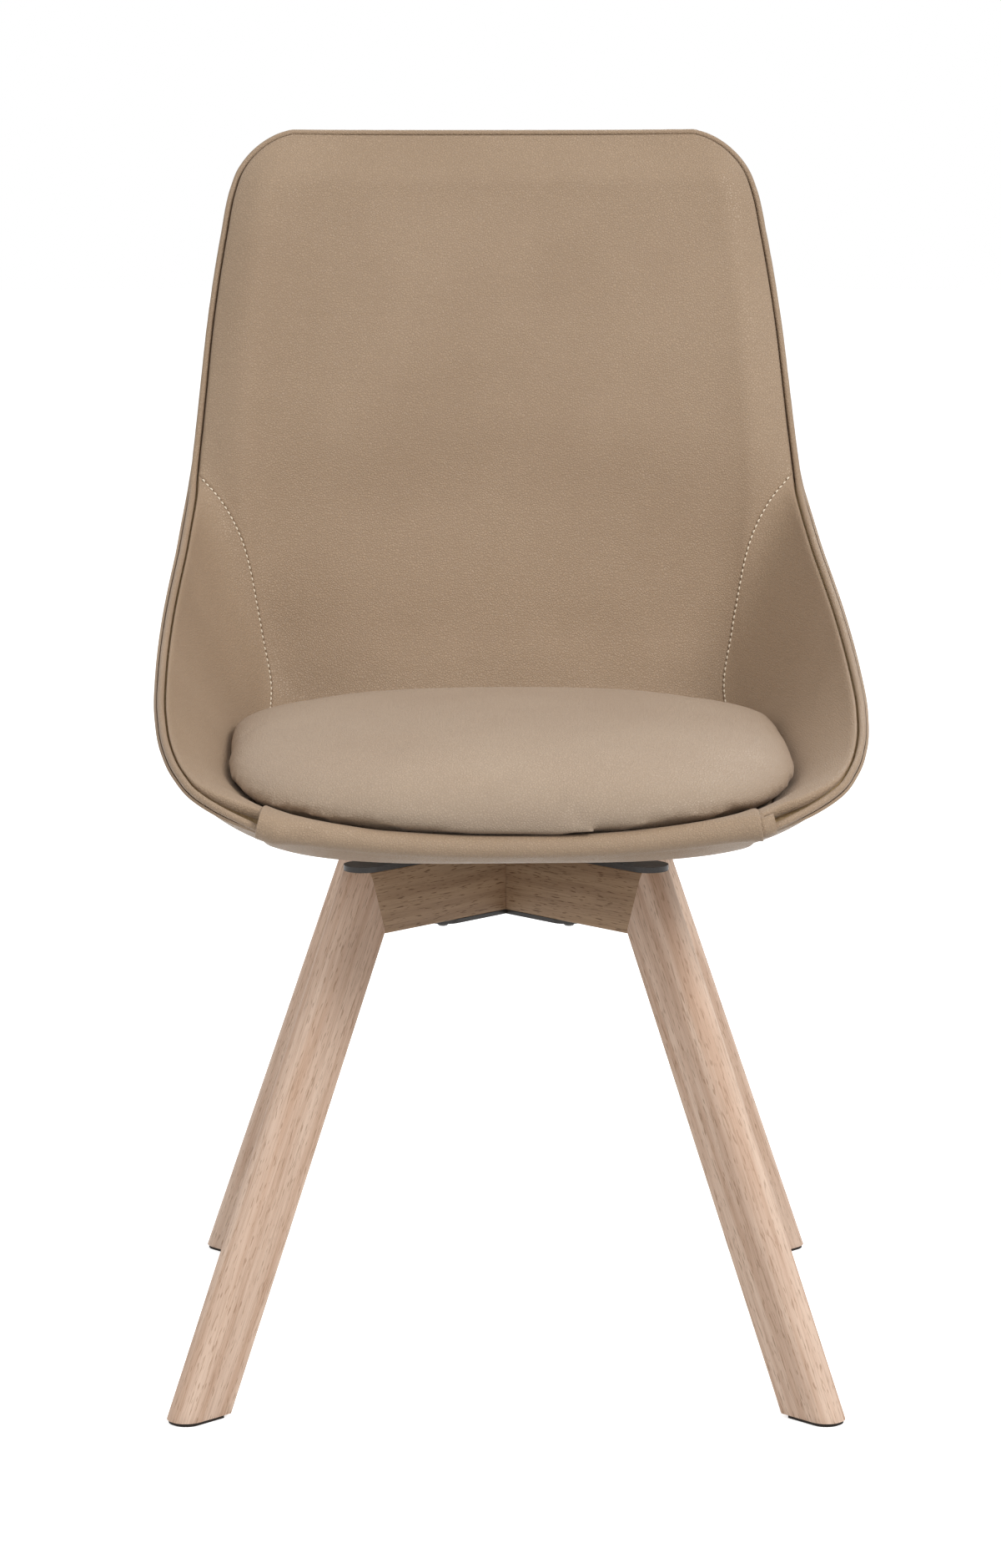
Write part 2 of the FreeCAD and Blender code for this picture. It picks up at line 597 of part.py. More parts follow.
def station_places():
    """A running value from 0 to 1 for the stations, by the length of the path from one to the next."""
    places = [0.0]
    for low, high in zip(ROWS, ROWS[1:]):
        rim_step = math.hypot(high[2] - low[2], high[3] - low[3])
        middle_step = math.hypot(high[0] - low[0], high[1] - low[1])
        places.append(places[-1] + rim_step + middle_step + abs(high[4] - low[4]))
    return [place / places[-1] for place in places]


PLACES = station_places()


def station_slopes():
    """The slope of every value at every station: the mean of two neighbouring chords, weighted by length."""
    steps = [high - low for low, high in zip(PLACES, PLACES[1:])]
    chords = []
    for index, step in enumerate(steps):
        chords.append([(high - low) / step for low, high in zip(ROWS[index], ROWS[index + 1])])
    slopes = [chords[0]]
    for index in range(1, len(ROWS) - 1):
        before, after = steps[index - 1], steps[index]
        pairs = zip(chords[index - 1], chords[index])
        slopes.append([level_slope(low, high, before, after) for low, high in pairs])
    slopes.append(chords[-1])
    return slopes


def level_slope(low, high, before, after):
    """The weighted mean of two chords, held back so that a curve between level stations stays level."""
    if low * high <= 0:
        return 0.0
    mean = (low * after + high * before) / (before + after)
    steepest = 3 * min(abs(low), abs(high))
    return math.copysign(min(abs(mean), steepest), mean)


SLOPES = station_slopes()


def station_at(up):
    """Every station value at one place along the bucket, on a cubic through the stations and their slopes."""
    up = min(max(up, 0.0), 1.0)
    index = 0
    while index < len(PLACES) - 2 and up > PLACES[index + 1]:
        index += 1
    span = PLACES[index + 1] - PLACES[index]
    t = (up - PLACES[index]) / span
    weights = (
        2 * t**3 - 3 * t**2 + 1,
        (t**3 - 2 * t**2 + t) * span,
        3 * t**2 - 2 * t**3,
        (t**3 - t**2) * span,
    )
    terms = zip(ROWS[index], SLOPES[index], ROWS[index + 1], SLOPES[index + 1])
    return [sum(weight * value for weight, value in zip(weights, term)) for term in terms]


def outer_point(across, up):
    """A point of the bucket's outer face. The section is flat, then rises to the rim as a power curve."""
    middle_y, middle_z, rim_y, rim_z, half, flat, power, _ = station_at(up)
    side = math.sin(SPREAD * across) / math.sin(SPREAD)
    rise = (max(abs(side) - flat, 0.0) / (1 - flat)) ** power
    return Vector(half * side, middle_y + rise * (rim_y - middle_y), middle_z + rise * (rim_z - middle_z))


def inward(across, up):
    """The unit normal that points to the sitter, taken just inside the rim where the edges meet."""
    step = 0.002
    across = min(max(across, -0.985), 0.985)
    up = min(max(up, 0.012), 0.988)
    sideways = outer_point(across + step, up) - outer_point(across - step, up)
    upwards = outer_point(across, up + step) - outer_point(across, up - step)
    return sideways.cross(upwards).normalize()


def smooth(value):
    """A step from 0 to 1 that starts and ends level."""
    value = min(max(value, 0.0), 1.0)
    return value * value * (3 - 2 * value)


def padding(across, up):
    """The whole thickness of the bucket: thin at the rim, full inside, and thin again at the front lip."""
    row = station_at(up)
    share = row[7]
    full = size("deck_padding") + share * (size("back_padding") - size("deck_padding"))
    inside = smooth((1 - abs(across)) / PILLOW_SHARE) * smooth((size("bucket_height") - row[1]) / TOP_PILLOW)
    body_thickness = size("rim_padding") + (full - size("rim_padding")) * inside
    lip = size("lip_padding") + LIP_SIDE_EXTRA * across**2
    return lip + (body_thickness - lip) * smooth(up / PLACES[LIP_STATION_INDEX])


def deep_point(across, up, depth):
    """A point at a depth below the outer face, towards the sitter."""
    return outer_point(across, up) + inward(across, up) * depth


def spaced(low, high, count):
    """Evenly spaced numbers from low to high."""
    return [low + (high - low) * step / (count - 1) for step in range(count)]


RIM_STEP_COUNT = 320
RIM_WINDOW = 0.06


def rim_line():
    """The bucket's right rim as a close row of points, each with its place along the bucket."""
    return [(up, outer_point(1.0, up)) for up in spaced(0.0, 1.0, RIM_STEP_COUNT)]


RIM = rim_line()


def rim_distance(point, up):
    """The distance from a point to the nearest stretch of the right rim."""
    nearest = size("bucket_height")
    for (low_up, low), (high_up, high) in zip(RIM, RIM[1:]):
        if min(abs(low_up - up), abs(high_up - up)) > RIM_WINDOW:
            continue
        run = high - low
        share = min(max((point - low).dot(run) / max(run.dot(run), 1e-9), 0.0), 1.0)
        nearest = min(nearest, (low + run * share - point).Length)
    return nearest


def across_at(up, distance):
    """How far across the bucket one goes to stay this distance short of the side rim."""
    low, high = 0.0, 1.0
    for _ in range(14):
        middle = (low + high) / 2
        if rim_distance(outer_point(middle, up), up) > distance:
            low = middle
        else:
            high = middle
    return low


def up_at(distance, end):
    """How far along the bucket one goes to stay this distance short of its front (0) or top (1) edge."""
    edge = outer_point(0, end)
    low, high = (0.5, 1.0) if end == 1 else (0.5, 0.0)
    for _ in range(30):
        middle = (low + high) / 2
        if (outer_point(0, middle) - edge).Length > distance:
            low = middle
        else:
            high = middle
    return low


def surface_through(grid):
    """A smooth surface through a grid of points."""
    surface = Part.BSplineSurface()
    surface.interpolate(grid)
    return surface


def solid_from(faces):
    """A closed solid from faces that meet edge to edge."""
    shape = Part.makeCompound(faces)
    shape.sewShape()
    solid = Part.Solid(Part.Shell(shape.Faces))
    if solid.Volume < 0:
        solid.reverse()
    return solid


def solid_between(lower_grid, upper_grid):
    """The solid between two surfaces, closed by ruled faces from edge to edge."""
    lower, upper = surface_through(lower_grid), surface_through(upper_grid)
    faces = [lower.toShape(), upper.toShape()]
    ends = lower.bounds(), upper.bounds()
    for index in (0, 1):
        pair = [item.uIso(limits[index]).toShape() for item, limits in zip((lower, upper), ends)]
        faces.append(Part.makeRuledSurface(*pair))
    for index in (2, 3):
        pair = [item.vIso(limits[index]).toShape() for item, limits in zip((lower, upper), ends)]
        faces.append(Part.makeRuledSurface(*pair))
    return solid_from(faces)


# The seam between the back panel and a side panel, as pairs of a place along the bucket and one across it.
SEAM = (
    (0.440, 0.600), (0.450, 0.600), (0.482, 0.610), (0.526, 0.632), (0.550, 0.655), (0.575, 0.685),
    (0.597, 0.730), (0.616, 0.800), (0.637, 0.885), (0.664, 0.985),
)
DECK_END = SEAM[0][0]
SIDE_END = 0.655
ROW_SPACING = 0.006
FRONT_STATION_INDEX = 4
BUCKET_PATH = sum(math.hypot(high[0] - low[0], high[1] - low[1]) for low, high in zip(ROWS, ROWS[1:]))
FRONT_ROW_COUNT = 5
ROW_COUNT = 4
COVER_COLUMN_COUNT = 31
DECK_COLUMN_COUNT = 19
BACK_COLUMN_COUNT = 23
SIDE_COLUMN_COUNT = 13
CUT_MARGIN = 1.0


def up_values(low, high, with_seam):
    """Places along the bucket: every station between two limits, the seam's points where a panel ends on it,
    and places between them, closer together at the front lip, where the bucket curves most."""
    wanted = sorted(PLACES + ([place for place, _ in SEAM] if with_seam else []))
    stops = [low]
    for place in wanted:
        if stops[-1] + ROW_SPACING < place < high - ROW_SPACING:
            stops.append(place)
    stops.append(high)
    values = []
    for start, end in zip(stops, stops[1:]):
        count = FRONT_ROW_COUNT if end < PLACES[FRONT_STATION_INDEX] + ROW_SPACING else ROW_COUNT
        values += spaced(start, end, count)[:-1]
    return values + [high]


def make_layer(name, low, high, left, right, bottom, top, count, cuts=(), with_seam=False):
    """A layer of the bucket between two depths, from one place to another across and along it."""
    grids = []
    for depth in (bottom, top):
        grid = []
        for up in up_values(low, high, with_seam):
            columns = spaced(left(up), right(up), count)
            grid.append([deep_point(across, up, depth(across, up)) for across in columns])
        grids.append(grid)
    solid = solid_between(*grids)
    for cut in cuts:
        solid = solid.cut(cut)
    return keep_seat_shape(name, solid)


def keep_seat_shape(name, solid):
    """A piece of the bucket, drawn from the underside of the seat up and then set on the seat plate."""
    piece = doc.addObject("Part::Feature", name)
    piece.Shape = solid
    piece.Placement = FreeCAD.Placement(
        Vector(0, 0, evaluate(piece, SEAT_PLATE_TOP) + size("layer_gap")),
        Rotation(Vector(0, 0, 1), size("seat_turn")),
    )
    return keep(piece, name)


def across_for(x, up):
    """How far across the bucket lies a given distance from the middle, at one place along it."""
    share = x / station_at(up)[4] * math.sin(SPREAD)
    return math.asin(min(max(share, -1.0), 1.0)) / SPREAD


def seam_at(up):
    """How far across the seam lies. Above the side panels it meets the rim."""
    edge = across_at(up, size("pad_inset"))
    if up <= SEAM[0][0]:
        return SEAM[0][1]
    for (low, before), (high, after) in zip(SEAM, SEAM[1:]):
        if up <= high:
            return min(before + (after - before) * (up - low) / (high - low), edge)
    return edge


def bolt_places():
    """The four seat bolts' places, along X and Y."""
    reach = size("seat_bolt_half_spacing")
    return [(side * reach, front * reach) for side in (-1, 1) for front in (-1, 1)]


def bolt_cuts(radius, low, high):
    """Upright cylinders at the seat bolts, from one height to another over the underside of the seat."""
    return [Part.makeCylinder(radius, high - low, Vector(x, y, low)) for x, y in bolt_places()]


def make_layers():
    """The bucket's layers from the outside in: leatherette, plywood, and the padded panels."""
    gap = size("layer_gap")
    cover = size("cover_thickness")
    shell_low = cover + gap
    shell_high = shell_low + size("shell_thickness")
    pad_low = shell_high + gap
    front = up_at(size("lip_inset"), 0)
    hole = size("seat_bolt_radius") + size("bolt_hole_room")
    barrel = size("t_nut_barrel") + size("bolt_hole_room")
    flange = size("t_nut_flange") + size("bolt_hole_room")
    bolt_top = shell_high + size("thread_room") + size("t_nut_flange_thickness") + size("bolt_end")

    def shell_side(up):
        return across_at(up, size("shell_inset"))

    def pad_side(up):
        return across_at(up, size("pad_inset"))

    def flat(depth):
        return lambda across, up: depth

    seam_room = size("seam_room") / size("bucket_half_width")
    row_room = size("seam_room") / BUCKET_PATH
    make_layer("outer_cover", front, 1, lambda up: -1, lambda up: 1, flat(0), flat(cover), COVER_COLUMN_COUNT,
               bolt_cuts(hole, -CUT_MARGIN, cover + CUT_MARGIN))
    make_layer("seat_shell", front, up_at(size("shell_inset"), 1), lambda up: -shell_side(up), shell_side,
               flat(shell_low), flat(shell_high), COVER_COLUMN_COUNT,
               bolt_cuts(barrel, 0, shell_high + CUT_MARGIN))
    make_layer("deck_pad", front, DECK_END - row_room,
               lambda up: seam_room - seam_at(up), lambda up: seam_at(up) - seam_room,
               flat(pad_low), padding, DECK_COLUMN_COUNT, bolt_cuts(flange, 0, bolt_top + gap))
    make_layer("back_panel", DECK_END + row_room, up_at(size("pad_inset"), 1),
               lambda up: seam_room - seam_at(up), lambda up: seam_at(up) - seam_room,
               flat(pad_low), padding, BACK_COLUMN_COUNT, with_seam=True)
    make_layer("side_panel_left", front, SIDE_END, lambda up: -pad_side(up),
               lambda up: -seam_at(up) - seam_room, flat(pad_low), padding, SIDE_COLUMN_COUNT, with_seam=True)
    make_layer("side_panel_right", front, SIDE_END, lambda up: seam_at(up) + seam_room, pad_side,
               flat(pad_low), padding, SIDE_COLUMN_COUNT, with_seam=True)


NOSE_ANGLES = spaced(-90, 90, 9)
LIP_STEP = 0.01
FOAM_COLUMN_COUNT = 25
BAND_COLUMN_COUNT = 31
BAND_TUCK_ROW_COUNT = 9


def lip_frame(x):
    """The middle of the front lip at a distance from the middle plane, its half thickness and two directions:
    forwards out of the lip, and up towards the sitter."""
    across = across_for(x, 0.0)
    half = padding(across, 0.0) / 2
    upward = inward(across, 0.0)
    middle = deep_point(across, 0.0, half)
    behind = across_for(x, LIP_STEP)
    forward = middle - deep_point(behind, LIP_STEP, padding(behind, LIP_STEP) / 2)
    forward = forward - upward * forward.dot(upward)
    return middle, half, forward.normalize(), upward


def nose_row(x, room):
    """Points round the nose of the lip, a half circle in section, from the underside to the top."""
    middle, half, forward, upward = lip_frame(x)
    radius = half + room
    turns = [math.radians(angle) for angle in NOSE_ANGLES]
    return [middle + (forward * math.cos(turn) + upward * math.sin(turn)) * radius for turn in turns]


def make_lip_foam():
    """The foam strip that rounds the front lip, glued on where the layers end."""
    reach = size("band_half_length") - size("pad_inset")
    fill = size("lip_inset") / 3
    nose, back = [], []
    for x in spaced(-reach, reach, FOAM_COLUMN_COUNT):
        middle, half, forward, upward = lip_frame(x)
        heights = [half * math.sin(math.radians(angle)) for angle in NOSE_ANGLES]
        nose.append(nose_row(x, 0.0))
        back.append([middle + upward * height - forward * fill for height in heights])
    keep_seat_shape("lip_foam", solid_between(nose, back))


def band_between(inner_room, outer_room):
    """A C-shaped solid round the front lip, between two distances from it."""
    reach = size("band_half_length")
    end = up_at(size("band_tuck"), 0)
    ups = spaced(end, 0.0, BAND_TUCK_ROW_COUNT)[:-1]
    grids = []
    for room in (inner_room, outer_room):
        grid = []
        for x in spaced(-reach, reach, BAND_COLUMN_COUNT):
            places = [(across_for(x, up), up) for up in ups]
            under = [deep_point(across, up, -room) for across, up in places]
            above = [deep_point(across, up, padding(across, up) + room) for across, up in reversed(places)]
            grid.append(under + nose_row(x, room) + above)
        grids.append(grid)
    return solid_between(*grids)


def make_front_band():
    """The leatherette band folded round the front lip and tucked back above and below it."""
    keep_seat_shape("front_band", band_between(size("band_room"), size("band_room") + size("band_thickness")))


PIPING_START = 0.006
PIPING_TOP_RING_COUNT = 11


def rim_places():
    """Places along the rim, from the front band's left end round the top to its right end."""
    stops = [PIPING_START] + [place for place in PLACES if place > PIPING_START]
    ups = []
    for start, end in zip(stops, stops[1:]):
        ups += [start, (start + end) / 2]
    left = [(-1.0, up) for up in ups]
    top = [(across, 1.0) for across in spaced(-1.0, 1.0, PIPING_TOP_RING_COUNT)]
    return left + top + [(1.0, up) for up in reversed(ups)]


def make_edge_piping():
    """The round piping sewn into the rim of the bucket: half circles along the rim, joined by ruled faces."""
    places = rim_places()
    points = [outer_point(across, up) for across, up in places]
    radius = size("piping_radius")
    depth = size("cover_thickness") + size("layer_gap") + radius
    inset = radius - size("piping_proud")
    rings = []
    for index, (across, up) in enumerate(places):
        ahead = points[min(index + 1, len(points) - 1)] - points[max(index - 1, 0)]
        upward = inward(across, up)
        sideways = ahead.cross(upward).normalize()
        upward = sideways.cross(ahead).normalize()
        centre = points[index] + sideways * inset + upward * depth
        turns = [math.radians(angle) for angle in (0, 90, 180, 270, 360)]
        ring = [centre + (sideways * math.cos(turn) + upward * math.sin(turn)) * radius for turn in turns]
        rings.append([Part.Arc(*ring[:3]).toShape(), Part.Arc(*ring[2:]).toShape()])
    faces = [Part.Face(Part.Wire(ring)) for ring in (rings[0], rings[-1])]
    for before, after in zip(rings, rings[1:]):
        faces += [Part.makeRuledSurface(low, high) for low, high in zip(before, after)]
    keep_seat_shape("edge_piping", solid_from(faces))


# The seat cushion, as a plain block. Its plan is an oval with square shoulders, wide in the middle and drawn
# in to the front and back. It stands on the deck and narrows in steps towards its top.
OUTLINE_POINT_COUNT = 32
FRONT_POWER = 3.2
BACK_POWER = 5.0
BLOCK_BOTTOM_SHARE = 0.5
BLOCK_LEVELS = (
    # share of the thickness, inset at the front, inset elsewhere
    (0.45, 8.0, 0.0),
    (0.85, 45.0, 7.0),
    (1.15, 95.0, 40.0),
)
TOOL_DEPTH = -20.0
TOOL_END = 0.56
TOOL_SIDE = 0.93
TOOL_COLUMN_COUNT = 25
BAND_TOOL_ROOM = -2.0


def cushion_level(height, front_inset, inset):
    """A level outline of the block: at each angle round its middle, the reach of an ellipse of high power."""
    half_width = size("bucket_half_width") - size("cushion_side_room") - inset
    front_reach = size("bucket_front") - size("cushion_front_room") - size("cushion_middle") - front_inset
    back_reach = size("bucket_back") - size("cushion_back_room") + size("cushion_middle") - inset
    points = []
    for step in range(OUTLINE_POINT_COUNT):
        turn = 2 * math.pi * step / OUTLINE_POINT_COUNT
        across, along_y = math.cos(turn), math.sin(turn)
        power, reach = (FRONT_POWER, front_reach) if along_y < 0 else (BACK_POWER, back_reach)
        radius = (abs(across / half_width) ** power + abs(along_y / reach) ** power) ** (-1 / power)
        points.append(Vector(radius * across, radius * along_y - size("cushion_middle"), height))
    curve = Part.BSplineCurve()
    curve.interpolate(points, PeriodicFlag=True)
    return Part.Wire([curve.toShape()])


def space_under_cushion():
    """Two solids with room over them: the padded deck with its sides, and the band round the lip."""
    room = size("cushion_room")
    grids = [[], []]
    for up in up_values(0.0, TOOL_END, True):
        columns = spaced(-TOOL_SIDE, TOOL_SIDE, TOOL_COLUMN_COUNT)
        grids[0].append([deep_point(across, up, TOOL_DEPTH) for across in columns])
        grids[1].append([deep_point(across, up, padding(across, up) + room) for across in columns])
    band_top = size("band_room") + size("band_thickness")
    return solid_between(*grids), band_between(BAND_TOOL_ROOM, band_top + room)


def make_cushion():
    """The loose seat cushion: a stepped block, cut so that it lies on the deck and clears the band."""
    base = size("deck_padding") + size("cushion_room")
    wires = [cushion_level(BLOCK_BOTTOM_SHARE * base, 0.0, 0.0)]
    for share, front_inset, inset in BLOCK_LEVELS:
        wires.append(cushion_level(base + share * size("cushion_thickness"), front_inset, inset))
    block = Part.makeLoft(wires, True, True)
    for space in space_under_cushion():
        block = block.cut(space)
    keep_seat_shape("seat_cushion", max(block.Solids, key=lambda solid: solid.Volume))


LOWER_PLATE_BOTTOM = "(sizes.arm_bottom - sizes.lower_steel)"
FRAME_BOLT_END = f"({BRACKET_TOP} + sizes.frame_nut_height + sizes.bolt_end)"
SEAT_BOLT_BOTTOM = f"({SEAT_PLATE_BOTTOM} - sizes.seat_bolt_head_height)"
SHELL_BOTTOM = f"({SEAT_PLATE_TOP} + 2 * sizes.layer_gap + sizes.cover_thickness)"
SHELL_TOP = f"({SHELL_BOTTOM} + sizes.shell_thickness)"
T_NUT_SEAT = f"({SHELL_TOP} + sizes.thread_room)"
T_NUT_TOP = f"({T_NUT_SEAT} + sizes.t_nut_flange_thickness)"
PIN_HEAD_BOTTOM = f"({SEAT_PLATE_BOTTOM} - sizes.pin_head_height)"
WASHER_TOP = f"({ARM_TOP} - sizes.running_room)"
LOCK_NUT_TOP = f"({WASHER_TOP} - sizes.washer_thickness)"
LOCK_NUT_BOTTOM = f"({LOCK_NUT_TOP} - sizes.lock_nut_height)"
PIN_END = f"({LOCK_NUT_BOTTOM} - sizes.bolt_end)"
NUT_HOLE = "(sizes.frame_bolt_radius + sizes.thread_room)"
LOCK_NUT_HOLE = "(sizes.pin_radius + sizes.thread_room)"
T_NUT_HOLE = "(sizes.seat_bolt_radius + sizes.thread_room)"
BUTTON_TOP_SHARE = 0.6
BUTTON_RIM_SHARE = 0.3


def make_base():
    """The wooden frame on its four pads, the steel crosses that clamp it, and their bolts and nuts."""
    for corner, turn in CORNERS:
        make_leg(corner, turn)
        make_arm(corner, turn)
        make_foot_pad(corner, turn)
    make_dowels()
    make_cross_plate("cross_bracket", ARM_TOP, "sizes.upper_steel", LEG_TOP_REACH, "sizes.bush_radius")
    make_cross_plate(
        "lower_cross_plate", LOWER_PLATE_BOTTOM, "sizes.lower_steel", "sizes.lower_plate_reach", None)
    button_top = f"{LOWER_PLATE_BOTTOM} - sizes.frame_bolt_head_height"
    button_rim = f"{LOWER_PLATE_BOTTOM} - {BUTTON_RIM_SHARE} * sizes.frame_bolt_head_height"
    make_bolt_group("frame_bolts", "sizes.frame_bolt_reach", "0", (
        ("0", button_top),
        (f"{BUTTON_TOP_SHARE} * sizes.frame_bolt_head", button_top),
        ("sizes.frame_bolt_head", button_rim),
        ("sizes.frame_bolt_head", LOWER_PLATE_BOTTOM),
        ("sizes.frame_bolt_radius", LOWER_PLATE_BOTTOM),
        ("sizes.frame_bolt_radius", FRAME_BOLT_END),
        ("0", FRAME_BOLT_END),
    ), seat_piece=False)
    make_hexagons("frame_nuts", "sizes.frame_bolt_reach", "sizes.frame_nut_radius", BRACKET_TOP,
                  "sizes.frame_nut_height", NUT_HOLE, 4)


def make_swivel():
    """The bearing between base and seat, and the pin through its middle."""
    make_race("swivel_lower_race", BRACKET_TOP, LOWER_RACE_TOP, False)
    make_race("swivel_upper_race", UPPER_RACE_BOTTOM, SEAT_PLATE_BOTTOM, True)
    make_cage()
    make_balls()
    bore = "(sizes.pin_radius + sizes.pin_running_room)"
    make_turned("pivot_bush", (
        (bore, ARM_TOP),
        ("sizes.bush_radius", ARM_TOP),
        ("sizes.bush_radius", BRACKET_TOP),
        ("sizes.bush_flange_radius", BRACKET_TOP),
        ("sizes.bush_flange_radius", f"{BRACKET_TOP} + sizes.bush_flange_thickness"),
        (bore, f"{BRACKET_TOP} + sizes.bush_flange_thickness"),
    ))
    make_turned("pivot_pin", (
        ("0", PIN_END),
        ("sizes.pin_radius", PIN_END),
        ("sizes.pin_radius", PIN_HEAD_BOTTOM),
        ("sizes.pin_head_radius", PIN_HEAD_BOTTOM),
        ("sizes.pin_head_radius", SEAT_PLATE_BOTTOM),
        ("0", SEAT_PLATE_BOTTOM),
    ), seat_piece=True)
    make_turned("pivot_washer", (
        (LOCK_NUT_HOLE, LOCK_NUT_TOP),
        ("sizes.washer_radius", LOCK_NUT_TOP),
        ("sizes.washer_radius", WASHER_TOP),
        (LOCK_NUT_HOLE, WASHER_TOP),
    ), seat_piece=True)
    make_hexagons("pivot_lock_nut", "0", "sizes.lock_nut_radius", LOCK_NUT_BOTTOM, "sizes.lock_nut_height",
                  LOCK_NUT_HOLE, 1, seat_piece=True)


def make_seat_fastenings():
    """The seat plate, its four bolts and the T-nuts that they screw into."""
    make_seat_plate()
    reach = "sizes.seat_bolt_half_spacing"
    make_bolt_group("seat_bolts", reach, reach, (
        ("0", SEAT_BOLT_BOTTOM),
        ("sizes.seat_bolt_head", SEAT_BOLT_BOTTOM),
        ("sizes.seat_bolt_head", SEAT_PLATE_BOTTOM),
        ("sizes.seat_bolt_radius", SEAT_PLATE_BOTTOM),
        ("sizes.seat_bolt_radius", f"{T_NUT_TOP} + sizes.bolt_end"),
        ("0", f"{T_NUT_TOP} + sizes.bolt_end"),
    ), seat_piece=True)
    make_bolt_group("t_nuts", reach, reach, (
        (T_NUT_HOLE, SHELL_BOTTOM),
        ("sizes.t_nut_barrel", SHELL_BOTTOM),
        ("sizes.t_nut_barrel", T_NUT_SEAT),
        ("sizes.t_nut_flange", T_NUT_SEAT),
        ("sizes.t_nut_flange", T_NUT_TOP),
        (T_NUT_HOLE, T_NUT_TOP),
    ), seat_piece=True)


make_base()
make_swivel()
make_seat_fastenings()
make_layers()
make_lip_foam()
make_front_band()
make_edge_piping()
make_cushion()
doc.recompute()


def check_objects():
    """Stop with the names of any object that did not come out right."""
    faults = []
    for item in doc.Objects:
        if {"Invalid", "Error"} & set(item.State):
            faults.append(f"{item.Label}: {item.State}")
    for piece in parts:
        if piece.Shape.isNull() or not piece.Shape.isValid() or not piece.Shape.Solids:
            faults.append(f"{piece.Label}: bad shape")
    if faults:
        raise RuntimeError("; ".join(faults))


check_objects()
os.makedirs("parts", exist_ok=True)
for piece in parts:
    piece.Shape.exportStep(os.path.join("parts", f"{piece.Label}.step"))
print(f"{len(parts)} pieces written")
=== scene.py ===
# %% [markdown]
# # A swivel dining chair
#
# The chair has a padded bucket seat that turns on a ball bearing, over four splayed legs of whitewashed oak. The
# frame loaded below is the exact model of every piece, in metres. The floor is Z = 0, the swivel axis is Z, and
# the front of the chair faces -Y. Hard pieces of the frame keep their own shape and get a finish. Soft and
# rounded pieces are built again here, finer than an exact model needs them.

# %% Load the frame and keep its box
import json
import math

import bmesh
import bpy
import numpy as np
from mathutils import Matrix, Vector


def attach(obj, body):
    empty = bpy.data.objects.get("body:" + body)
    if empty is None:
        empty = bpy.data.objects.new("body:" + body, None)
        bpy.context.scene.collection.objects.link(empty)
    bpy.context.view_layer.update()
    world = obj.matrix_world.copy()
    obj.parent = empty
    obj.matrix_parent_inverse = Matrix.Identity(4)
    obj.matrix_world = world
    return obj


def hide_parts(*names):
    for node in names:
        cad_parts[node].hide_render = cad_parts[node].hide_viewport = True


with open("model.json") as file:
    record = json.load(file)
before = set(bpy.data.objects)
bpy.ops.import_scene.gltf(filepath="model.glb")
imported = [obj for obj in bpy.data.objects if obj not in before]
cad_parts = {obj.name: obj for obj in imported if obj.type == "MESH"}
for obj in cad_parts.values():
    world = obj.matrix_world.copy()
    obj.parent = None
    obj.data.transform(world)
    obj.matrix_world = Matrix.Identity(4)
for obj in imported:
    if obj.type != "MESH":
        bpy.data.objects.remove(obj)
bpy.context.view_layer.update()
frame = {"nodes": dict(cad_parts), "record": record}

# %% [markdown]
# ## Small helpers
#
# Every surface in this scene is a grid of points worked out as one array, so two helpers are enough: one lists
# the quads of a grid, the other turns points and quads into a named piece that rides on a body of the frame.

# %% From arrays to pieces
MM = 0.001


def grid_quads(rows, columns, around=False):
    """Quads of a grid whose points run row by row. around joins the last column to the first."""
    index = np.arange(rows * columns).reshape(rows, columns)
    if around:
        index = np.concatenate([index, index[:, :1]], axis=1)
    return np.stack([index[:-1, :-1], index[:-1, 1:], index[1:, 1:], index[1:, :-1]], axis=-1).reshape(-1, 4)


def new_mesh(name, points, quads, triangles=()):
    """A mesh from an (n, 3) array of points in metres and arrays of quads and triangles, shaded smooth."""
    faces = np.asarray(quads).reshape(-1, 4).tolist() + np.asarray(triangles, int).reshape(-1, 3).tolist()
    mesh = bpy.data.meshes.new(name)
    mesh.from_pydata(np.asarray(points).reshape(-1, 3).tolist(), [], faces)
    mesh.polygons.foreach_set("use_smooth", np.ones(len(faces), bool))
    mesh.update()
    return mesh


def add_piece(name, mesh, body, material, stands_for=()):
    """An object at the origin that rides on a body and stands for some of the frame's own pieces."""
    piece = bpy.data.objects.new(name, mesh)
    bpy.context.scene.collection.objects.link(piece)
    mesh.materials.clear()
    mesh.materials.append(material)
    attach(piece, body)
    if stands_for:
        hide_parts(*stands_for)
    print(name, len(mesh.vertices), "points")
    return piece


def apply_modifiers(piece):
    """Replace the piece's mesh by what its modifiers make of it, and clear them."""
    bpy.context.view_layer.update()
    graph = bpy.context.evaluated_depsgraph_get()
    made = bpy.data.meshes.new_from_object(piece.evaluated_get(graph))
    old = piece.data
    piece.modifiers.clear()
    piece.data = made
    made.name = piece.name
    bpy.data.meshes.remove(old)


# %% [markdown]
# ## Materials
#
# A material is a small network of nodes. One function adds a node with its settings and its links, and one turns
# the sRGB colours, as a paint chart gives them, into the linear values that the renderer works in.

# %% The two material helpers
def linear(code):
    """The linear colour of an sRGB hex code: each channel c becomes ((c + 0.055) / 1.055) ** 2.4."""
    channels = np.array([int(code[i:i + 2], 16) for i in (1, 3, 5)]) / 255
    value = np.where(channels <= 0.04045, channels / 12.92, ((channels + 0.055) / 1.055) ** 2.4)
    return (*value.tolist(), 1.0)


